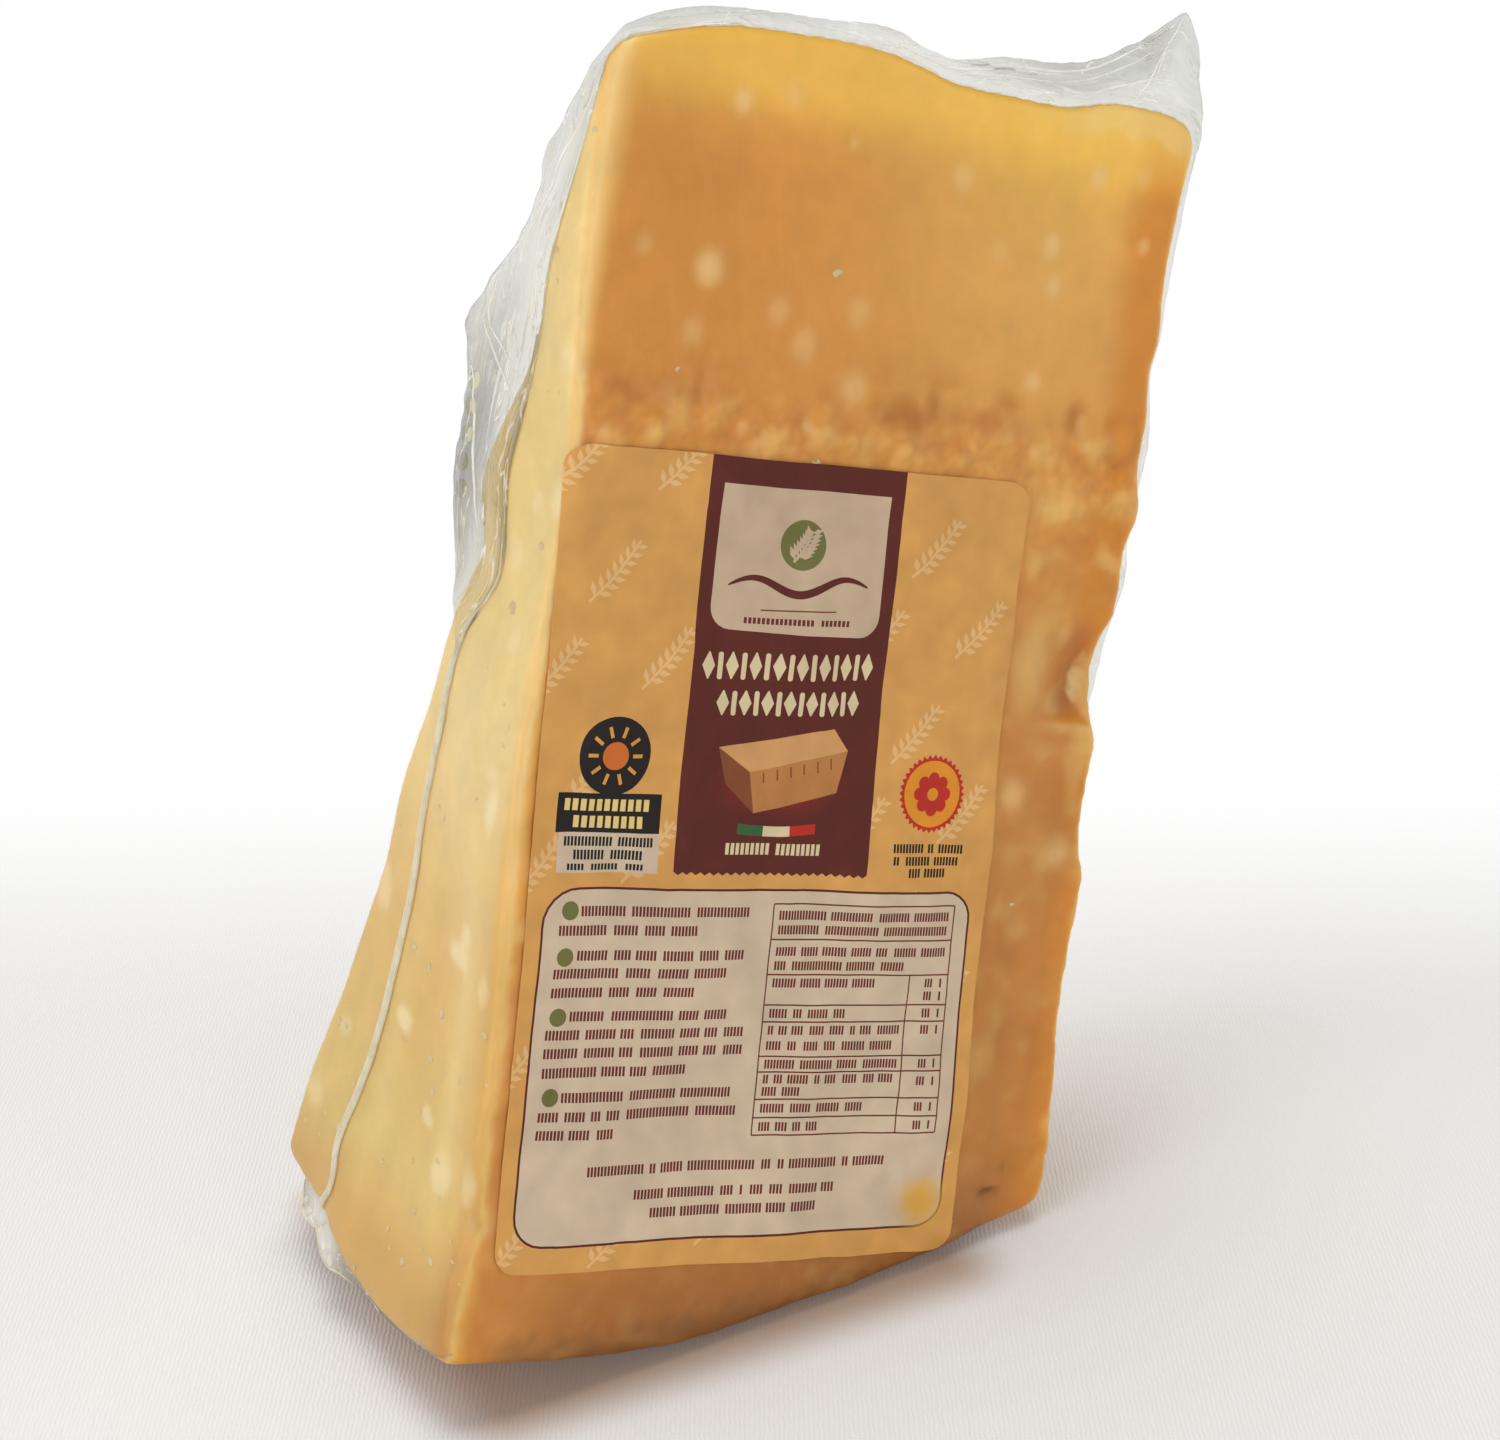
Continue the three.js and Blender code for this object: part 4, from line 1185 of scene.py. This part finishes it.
# The upper panel is the same paper as the lower one, painted darker as shade.
box(UPPER_PANEL_SHADED, 27.8, 4.3, 58.9, 27.7, (0, 0, 3.6, 3.6))
disc(OLIVE, 43.3, 13.3, 4.1)
sprig(UPPER_PANEL_SHADED, 43.3, 13.5, math.radians(-62), 6.0)
along = np.linspace(0, 1, 40)
swash = np.stack([30.5 + 25.5 * along, 20.6 - 1.2 * along - 1.3 * np.sin(along * 9.4)], axis=1)
stroke(DARK_RED, swash, 0.25 + 1.1 * np.sin(along * math.pi) ** 0.7)
stroke(TEXT_RED, [(36.6, 24.2), (50.4, 23.6)], HAIRLINE)
hatched_line(TEXT_RED, 33.8, 26.0, 53.2, 1.0, (12, 5), 0.8, -0.03)

# Two rows of pale lozenges and bars between them.
for left, middle, right, height, pairs in ((26.8, 33.0, 59.3, 4.4, 8), (30.0, 39.0, 57.2, 4.0, 7)):
    pitch = (right - left) / (pairs - 0.3)
    half = height / 2
    lozenge = ((-1.15, 0), (-0.1, -half), (0.1, -half), (1.15, 0), (0.1, half), (-0.1, half))
    for k in range(pairs):
        x = left + pitch * (k + 0.35)
        y = middle - 0.035 * (x - 43)
        shape(CREAM, [(x + across, y + down) for across, down in lozenge])
        if k + 1 < pairs:
            bar = x + pitch / 2
            box(CREAM, bar - 0.45, y - half, bar + 0.45, y + half, (0.4,) * 4)

# A block of cheese on a red glow, a bar of three colours and a small line.
GLOW_RINGS = [(1, (96, 30, 18)), (0.84, (106, 30, 18)), (0.66, (120, 32, 18)), (0.46, (138, 34, 18))]
BAR_LEFT = 36.3
STRIPE = 4.85
for size, colour in GLOW_RINGS:
    turns = np.linspace(0, 6.15, 40)
    shape(colour, [(43.4 + 13 * size * math.cos(t), 52.6 + 5.6 * size * math.sin(t)) for t in turns])
shape(TAN_LIGHT, [(31.5, 46.6), (52.5, 42.8), (55.6, 46.4), (37.5, 50.4)])
shape(TAN, [(37.5, 50.4), (55.6, 46.4), (54.2, 53.4), (39.0, 57.2)])
shape(TAN_DARK, [(31.5, 46.6), (37.5, 50.4), (39.0, 57.2), (33.4, 52.6)])
for k in range(6):
    x = 40.0 + 2.5 * k
    stroke(TAN_DARK, [(x, 50.9 - 0.21 * (x - 37.5)), (x + 0.2, 52.6 - 0.2 * (x - 37.5))], 0.28)
for k, colour in enumerate((LEAF_GREEN, CREAM, SIGNAL_RED)):
    left = BAR_LEFT + STRIPE * k
    steps = np.linspace(0, 1, 6)
    stroke(colour, [(left + STRIPE * t, 59.75 + 0.35 * math.sin(1.3 * k + 1.3 * t)) for t in steps], 1.7)
hatched_line(CREAM, 34.4, 63.0, 52.4, 1.9, (8, 8), 0.95)

# The left mark: a dark disc with a ring and rays, a dark bar and a pale caption.
SUN = (13.1, 48.6)
RAYS = 10
disc(INK_BLACK, *SUN, 6.4)
for k in range(RAYS):
    turn = 2 * math.pi * k / RAYS
    ray = [(SUN[0] + r * math.cos(turn), SUN[1] + r * math.sin(turn)) for r in (3.1, 4.9)]
    stroke(RAY_GOLD, ray, 0.6)
disc(SUN_ORANGE, *SUN, 2.3)
box(INK_BLACK, 3.9, 54.7, 22.3, 61.0)
for left, middle, right in ((5.2, 56.6, 21.2), (7.0, 59.3, 19.4)):
    hatched_line(BAR_YELLOW, left, middle, right, 1.9, (1,), 1.4)
box(PANEL, 4.5, 61.0, 22.4, 67.3)
caption(
    (5.6, 62.4, 21.5, 1.5, (11, 8)), (7.4, 64.5, 19.8, 1.5, (8, 8)), (6.4, 66.4, 20.2, 1.0, (5, 8, 5)),
)

# The right mark: a toothed red round with a yellow field and a red flower.
SEAL = (73, 53.1)
SEAL_TEETH = 36
PETALS = 8
turns = np.linspace(0, 2 * math.pi, 2 * SEAL_TEETH, endpoint=False)
radii = [6.3 + 0.3 * (-1) ** k for k in range(2 * SEAL_TEETH)]
shape(SIGNAL_RED, [(SEAL[0] + r * math.cos(t), SEAL[1] + r * math.sin(t)) for r, t in zip(radii, turns)])
disc(SEAL_YELLOW, *SEAL, 5.6)
for k in range(PETALS):
    turn = 2 * math.pi * k / PETALS
    disc(SIGNAL_RED, SEAL[0] + 2.6 * math.cos(turn), SEAL[1] + 2.6 * math.sin(turn), 1.15, 14)
disc(SIGNAL_RED, *SEAL, 2.2, 24)
disc(SEAL_YELLOW, *SEAL, 1.1, 20)
caption(
    (66.2, 62.3, 80.2, 1.5, (11, 2, 9)), (66.4, 64.4, 79.8, 1.45, (3, 10, 11)),
    (69.6, 66.4, 77.2, 1.5, (4, 8)),
)

# The lower panel with its thin frame, four short passages and a ruled table.
TABLE_LEFT = 44.8
TABLE_RIGHT = 80.0
TABLE_TOP = 72.1
TABLE_FOOT = 110.8
box(DARK_RED, 2.6, 69.6, 83.2, 127.7, (6.5, 5, 5, 5))
box(PANEL, 3.0, 70.0, 82.8, 127.3, (6.1, 4.6, 4.6, 4.6))
for cx, cy in ((7.6, 73.3), (7.2, 80.6), (7.1, 90.4), (7.0, 103.3)):
    disc(OLIVE, cx, cy, 1.5, 18)
for left, middle, right, words in (
    (9.6, 73.4, 40.2, (9, 12, 11)), (5.8, 76.4, 31.0, (12, 6, 5, 7)),
    (9.4, 80.4, 40.0, (6, 3, 4, 6, 4, 4)), (5.4, 83.3, 37.2, (13, 5, 6, 7)),
    (5.4, 86.4, 31.0, (12, 5, 5, 7)), (9.2, 90.3, 38.2, (7, 12, 4, 5)),
    (5.2, 93.3, 41.2, (7, 6, 3, 7, 4, 3, 4)), (5.2, 96.3, 41.4, (7, 6, 3, 7, 4, 3, 4)),
    (5.2, 99.4, 31.6, (12, 5, 4, 8)), (9.0, 103.4, 40.4, (12, 9, 10)),
    (5.2, 106.5, 41.4, (4, 4, 2, 3, 13, 8)), (5.2, 109.5, 19.0, (6, 5, 4)),
):
    hatched_line(TEXT_RED, left, middle, right, 1.6, words)
for top in (TABLE_TOP, 78.0, 83.9, 89.0, 91.8, 97.6, 100.2, 104.8, 107.9, TABLE_FOOT):
    stroke(TEXT_RED, [(TABLE_LEFT, top), (TABLE_RIGHT, top)], RULE_WIDTH)
for x, top in ((TABLE_LEFT, TABLE_TOP), (TABLE_RIGHT, TABLE_TOP), (72.2, 83.9)):
    stroke(TEXT_RED, [(x, top), (x, TABLE_FOOT)], RULE_WIDTH)
for middle, right, words in (
    (74.0, 79.2, (13, 12, 9, 11)), (76.4, 79.0, (11, 14, 18)), (80.0, 79.0, (6, 5, 7, 6, 4, 7, 8)),
    (82.4, 71.0, (4, 16, 10, 8)), (85.3, 65.4, (7, 6, 7, 7)), (90.4, 60.4, (6, 3, 7, 4)),
    (93.2, 71.2, (2, 3, 5, 6, 6, 2, 5, 9)), (95.8, 70.0, (6, 4, 6, 5, 9, 9)),
    (98.9, 71.2, (11, 12, 8, 13)), (101.4, 71.0, (2, 3, 8, 2, 5, 6, 4, 6)), (103.5, 53.0, (5, 6)),
    (106.3, 65.6, (8, 7, 8, 6)), (109.4, 57.0, (4, 4, 3, 4)),
):
    hatched_line(TEXT_RED, 46.0, middle, right, 1.5, words, SMALL_PITCH)
for middle in (85.3, 87.5, 90.4, 93.2, 98.9, 101.9, 106.3, 109.4):
    hatched_line(TEXT_RED, 75.4, middle, 79.0, 1.5, (3, 1), SMALL_PITCH)
for left, middle, right, words in (
    (14.8, 115.6, 71.0, (10, 1, 4, 12, 2, 1, 9, 1, 6)), (23.8, 119.8, 61.6, (6, 10, 3, 1, 3, 3, 6, 3)),
    (27.0, 122.9, 58.0, (5, 8, 7, 4, 5)),
):
    hatched_line(TEXT_RED, left, middle, right, 1.6, words)


def label_sheet():
    """The label's flat net cut along every edge of its print, each face with its ink."""
    columns = range(0, LABEL_WIDTH, 2)
    rows = range(0, LABEL_HEIGHT, 2)
    vertices = [Vector((x + 0.37, y + 0.29)) for x in columns for y in rows]
    faces = []
    for _, points in label_shapes:
        faces.append(list(range(len(vertices), len(vertices) + len(points))))
        vertices += [Vector(point) for point in points]
    places, _, triangles, _, _, sources = geometry.delaunay_2d_cdt(vertices, [], faces, 1, 1e-4)
    kept = [(tri, max(source)) for tri, source in zip(triangles, sources) if source and 0 in source]
    return np.array([tuple(place) for place in places]), kept


def label_place(across, down, reach):
    """A place on the front of the pack `reach` from a line inside it, going on round the rind's edge."""
    off_x = across - LABEL_WIDTH / 2
    off_y = down - LABEL_HEIGHT / 2
    side = math.cos(LABEL_TURN) * off_x + math.sin(LABEL_TURN) * off_y
    fall = math.cos(LABEL_TURN) * off_y - math.sin(LABEL_TURN) * off_x
    x = LABEL_CENTRE[0] + side
    drop = (LABEL_CENTRE[1] + fall) * math.cos(HALF_ANGLE)
    edge = (curve_through(RIND_RADIUS, x) + HEEL_DROP) * math.cos(HALF_ANGLE) - EDGE_RADIUS
    turn = np.maximum(0, drop - edge) / EDGE_RADIUS
    z = -np.minimum(drop, edge)
    y = z * math.tan(HALF_ANGLE) + EDGE_RADIUS
    return np.stack([x, y - reach * np.cos(turn), z - reach * np.sin(turn)], axis=1)


def film_reach():
    """How far out the film lies under the label, read at each step and eased as stiff paper lies."""
    columns = np.arange(0, LABEL_WIDTH + READING_STEP, READING_STEP)
    rows = np.arange(0, LABEL_HEIGHT + READING_STEP, READING_STEP)
    across, down = np.meshgrid(columns, rows, indexing="ij")
    far, near = (label_place(across.ravel(), down.ravel(), reach) for reach in (30, 0))
    reach = []
    for start, end in zip(far, near):
        hit = skin_tree.ray_cast(Vector(start), Vector(end - start))[0]
        reach.append((hit - Vector(end)).length if hit else EDGE_RADIUS)
    reach = np.array(reach).reshape(across.shape)
    eased = reach
    for _ in range(EASING_ROUNDS):
        padded = np.pad(eased, 1, mode="edge")
        beside = padded[:-2, 1:-1] + padded[2:, 1:-1] + padded[1:-1, :-2] + padded[1:-1, 2:]
        eased = (beside + 2 * eased) / 6
    return np.maximum(eased, reach)


def read_between(grid, across, down):
    """A value between the readings of a grid."""
    column = np.clip(across / READING_STEP, 0, grid.shape[0] - 1.001)
    row = np.clip(down / READING_STEP, 0, grid.shape[1] - 1.001)
    i = column.astype(int)
    k = row.astype(int)
    s = column - i
    t = row - k
    return (
        grid[i, k] * (1 - s) * (1 - t) + grid[i + 1, k] * s * (1 - t)
        + grid[i, k + 1] * (1 - s) * t + grid[i + 1, k + 1] * s * t
    )


def paper_creases(across, down):
    """Soft buckles of the paper and a few sharp creases, in millimetres."""
    places = np.stack([across, down, down * 0], axis=1)
    buckles = waves(places, 10, 2.7, (0.8, 1.4, 1)) * 0.26
    buckles = buckles + waves(places, 4.4, 9.9, (0.8, 1.3, 1)) * 0.17
    for x, y, degrees, length, height in CREASES:
        turn = math.radians(degrees)
        along = (across - x) * math.cos(turn) + (down - y) * math.sin(turn)
        off = (down - y) * math.cos(turn) - (across - x) * math.sin(turn)
        buckles += 1.6 * height * np.exp(-((off / 0.8) ** 2) - (along / length) ** 2)
    return buckles


label_points, label_faces = label_sheet()
net_x, net_y = label_points.T
under = read_between(film_reach(), net_x, net_y)
lift = LABEL_LIFT + paper_creases(net_x, net_y)
label_3d = label_place(net_x, net_y, under + np.maximum(lift, LEAST_LIFT))

label_mesh = bpy.data.meshes.new("label")
outward_faces = [tuple(reversed(face)) for face, _ in label_faces]
label_mesh.from_pydata([tuple(point) for point in to_row(label_3d)], [], outward_faces)
print_ink = label_mesh.color_attributes.new("print", "FLOAT_COLOR", "CORNER")
corner_vertices = read_all(label_mesh.loops, "vertex_index", 1, np.int32)[:, 0]
inks = np.ones((len(label_mesh.loops), 4), dtype=np.float32)
inks[:, :3] = np.repeat([srgb(*label_shapes[top][0]) for _, top in label_faces], 3, axis=0)
corner_x, corner_y = label_points[corner_vertices].T
rubbed = np.exp(-(np.hypot(corner_x - 79, corner_y - 123.2) / 4.4) ** 4)[:, None]
inks[:, :3] += (srgb(*RUBBED) - inks[:, :3]) * rubbed
print_ink.data.foreach_set("color", inks.ravel())
label_mesh.shade_smooth()

label = new_piece("label_print", label_mesh)
paper = label.modifiers.new("paper", "SOLIDIFY")
paper.thickness = PAPER_THICKNESS
paper.offset = -1
label.data = evaluated_mesh(label)
label.data.set_sharp_from_angle(angle=math.radians(50))


def label_material():
    """Coated paper: flat inks that are faintly uneven, with painted light and shade following its puckers,
    under a thin gloss that the creases catch.
    """
    material, add = new_material("printed paper")
    place = add("TexCoord").outputs["Object"]
    ink = add("VertexColor", layer_name="print").outputs["Color"]
    fibres = add("TexNoise", {"Vector": place, "Scale": 900, "Detail": 4}).outputs["Fac"]
    clouds = add("TexNoise", {"Vector": place, "Scale": 60, "Detail": 3}).outputs["Fac"]
    puckers = add("TexNoise", {"Vector": place, "Scale": 190, "Detail": 1.5}).outputs["Fac"]
    broad = remap(add, clouds, (0.3, 0.7), (0.93, 1.04))
    # The tone follows the puckers: painted light and shade on their bumps.
    close = remap(add, puckers, (0.3, 0.7), (0.93, 1.07))
    tone = add("Math", {0: broad, 1: close}, operation="MULTIPLY").outputs[0]
    tinted = add("VectorMath", {0: ink, "Scale": tone}, operation="SCALE").outputs[0]
    height = add("Math", {0: fibres, 1: 0.12, 2: puckers}, operation="MULTIPLY_ADD").outputs[0]
    bump = add("Bump", {"Height": height, "Strength": 0.5, "Distance": 0.0009}).outputs[0]
    rough = remap(add, fibres, (0.3, 0.7), (0.38, 0.52))
    gloss = {"Roughness": rough, "Specular IOR Level": 0.25, "Normal": bump}
    shader = add("BsdfPrincipled", {"Base Color": tinted, **gloss})
    add("OutputMaterial", {"Surface": shader.outputs[0]})
    return material


label.data.materials.append(label_material())
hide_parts("label")
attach(label, "root")

# ---- Floor and light -------------------------------------------------------------------------
# A sheet of finely ribbed cream paper, with a warm shadow painted under the cheese, which glows plain
# white behind the pack as painted light. One soft lamp hangs over it, three stand round it at the left, in
# front and at the right, and the surround is white.

# The floor glows white past these depths: painted light, not a lamp.
SWEEP_AXIS = (0.553, 0.833, 0)
WHITE_FROM = 0.05
WHITE_TO = 0.19
RIB_TURN = math.radians(27)
# Where a warm shadow is painted on the floor under the cheese, and how fast it fades.
FOOT_CENTRE = (-0.030, 0, 0)
FOOT_HALF = (0.040, 0.037, 1)
FOOT_FADE = 0.015
PAPER = (0.80, 0.80, 0.79, 1)
PAINTED_SHADOW_UNDER_FOOT = (0.38, 0.24, 0.14, 1)
FLOOR_HALF_WIDTH = 6
SURROUND_STRENGTH = 0.2

floor_mesh = bpy.data.meshes.new("floor")
floor_net = bmesh.new()
bmesh.ops.create_grid(floor_net, x_segments=1, y_segments=1, size=FLOOR_HALF_WIDTH)
floor_net.to_mesh(floor_mesh)
floor_net.free()
floor = new_piece("floor", floor_mesh)


def floor_material():
    """Cream paper, finely ribbed, with a warm shadow painted where the cheese shades it, and glowing white
    far off as painted light.
    """
    material, add = new_material("paper sweep")
    place = add("TexCoord").outputs["Object"]
    # The floor glows towards white with depth: painted light.
    depth = add("VectorMath", {0: place, 1: SWEEP_AXIS}, operation="DOT_PRODUCT").outputs["Value"]
    painted_glow_range = {0: depth, 1: WHITE_FROM, 2: WHITE_TO, 3: 0.08, 4: 1}
    white = add("MapRange", painted_glow_range, interpolation_type="SMOOTHSTEP").outputs[0]
    across = add("Mapping", {"Vector": place, "Rotation": (0, 0, RIB_TURN)}).outputs[0]
    ribs = add("TexWave", {"Vector": across, "Scale": 400, "Distortion": 3.5, "Detail": 2}).outputs["Fac"]
    bump = add("Bump", {"Height": ribs, "Strength": 0.3, "Distance": 0.0003}).outputs[0]
    # A warm shadow painted round the cheese's foot, fading with distance.
    offset = add("VectorMath", {0: place, 1: FOOT_CENTRE}, operation="SUBTRACT").outputs[0]
    beyond = add("VectorMath", {0: offset}, operation="ABSOLUTE").outputs[0]
    outside = add("VectorMath", {0: beyond, 1: FOOT_HALF}, operation="SUBTRACT").outputs[0]
    clipped = add("VectorMath", {0: outside, 1: (0, 0, 0)}, operation="MAXIMUM").outputs[0]
    away = add("VectorMath", {0: clipped}, operation="LENGTH").outputs["Value"]
    shadow_fading = {0: away, 1: 0, 2: FOOT_FADE, 3: 1, 4: 0}
    painted_shadow_share = add("MapRange", shadow_fading, interpolation_type="SMOOTHSTEP").outputs[0]
    colour = add("Mix", {0: painted_shadow_share, 6: PAPER, 7: PAINTED_SHADOW_UNDER_FOOT}, data_type="RGBA").outputs[2]
    paper = add("BsdfPrincipled", {"Base Color": colour, "Roughness": 0.9, "Normal": bump})
    glow = add("Emission", {"Color": (1, 1, 1, 1), "Strength": 1.0})
    both = add("MixShader", {0: white, 1: paper.outputs[0], 2: glow.outputs[0]})
    add("OutputMaterial", {"Surface": both.outputs[0]})
    return material


floor.data.materials.append(floor_material())


def lamp(name, place, target, size, power, colour=(1, 1, 1)):
    """A round soft lamp at a place, turned to its target."""
    data = bpy.data.lights.new(name, "AREA")
    data.shape = "DISK"
    data.size = size
    data.energy = power
    data.color = colour
    disk = bpy.data.objects.new(name, data)
    disk.location = place
    disk.rotation_euler = (Vector(target) - Vector(place)).to_track_quat("-Z", "Y").to_euler()
    bpy.context.scene.collection.objects.link(disk)


lamp("key light", (0.15, 0.3, 1.4), (0, 0, 0.05), 1.2, 13.5, (1, 0.985, 0.96))
lamp("side light", (-1.4, -0.2, 0.7), (0, 0, 0.1), 1.5, 13)
lamp("fill light", (-0.1, -1.6, 0.5), (0, 0, 0.1), 1.6, 9.5)
lamp("right light", (1.3, -0.8, 0.3), (0, 0, 0.1), 1.6, 5)

world = bpy.data.worlds.new("surround")
world.use_nodes = True
surround = world.node_tree.nodes["Background"]
surround.inputs["Color"].default_value = (1, 1, 1, 1)
surround.inputs["Strength"].default_value = SURROUND_STRENGTH
bpy.context.scene.world = world
bpy.context.scene.view_settings.view_transform = "Standard"
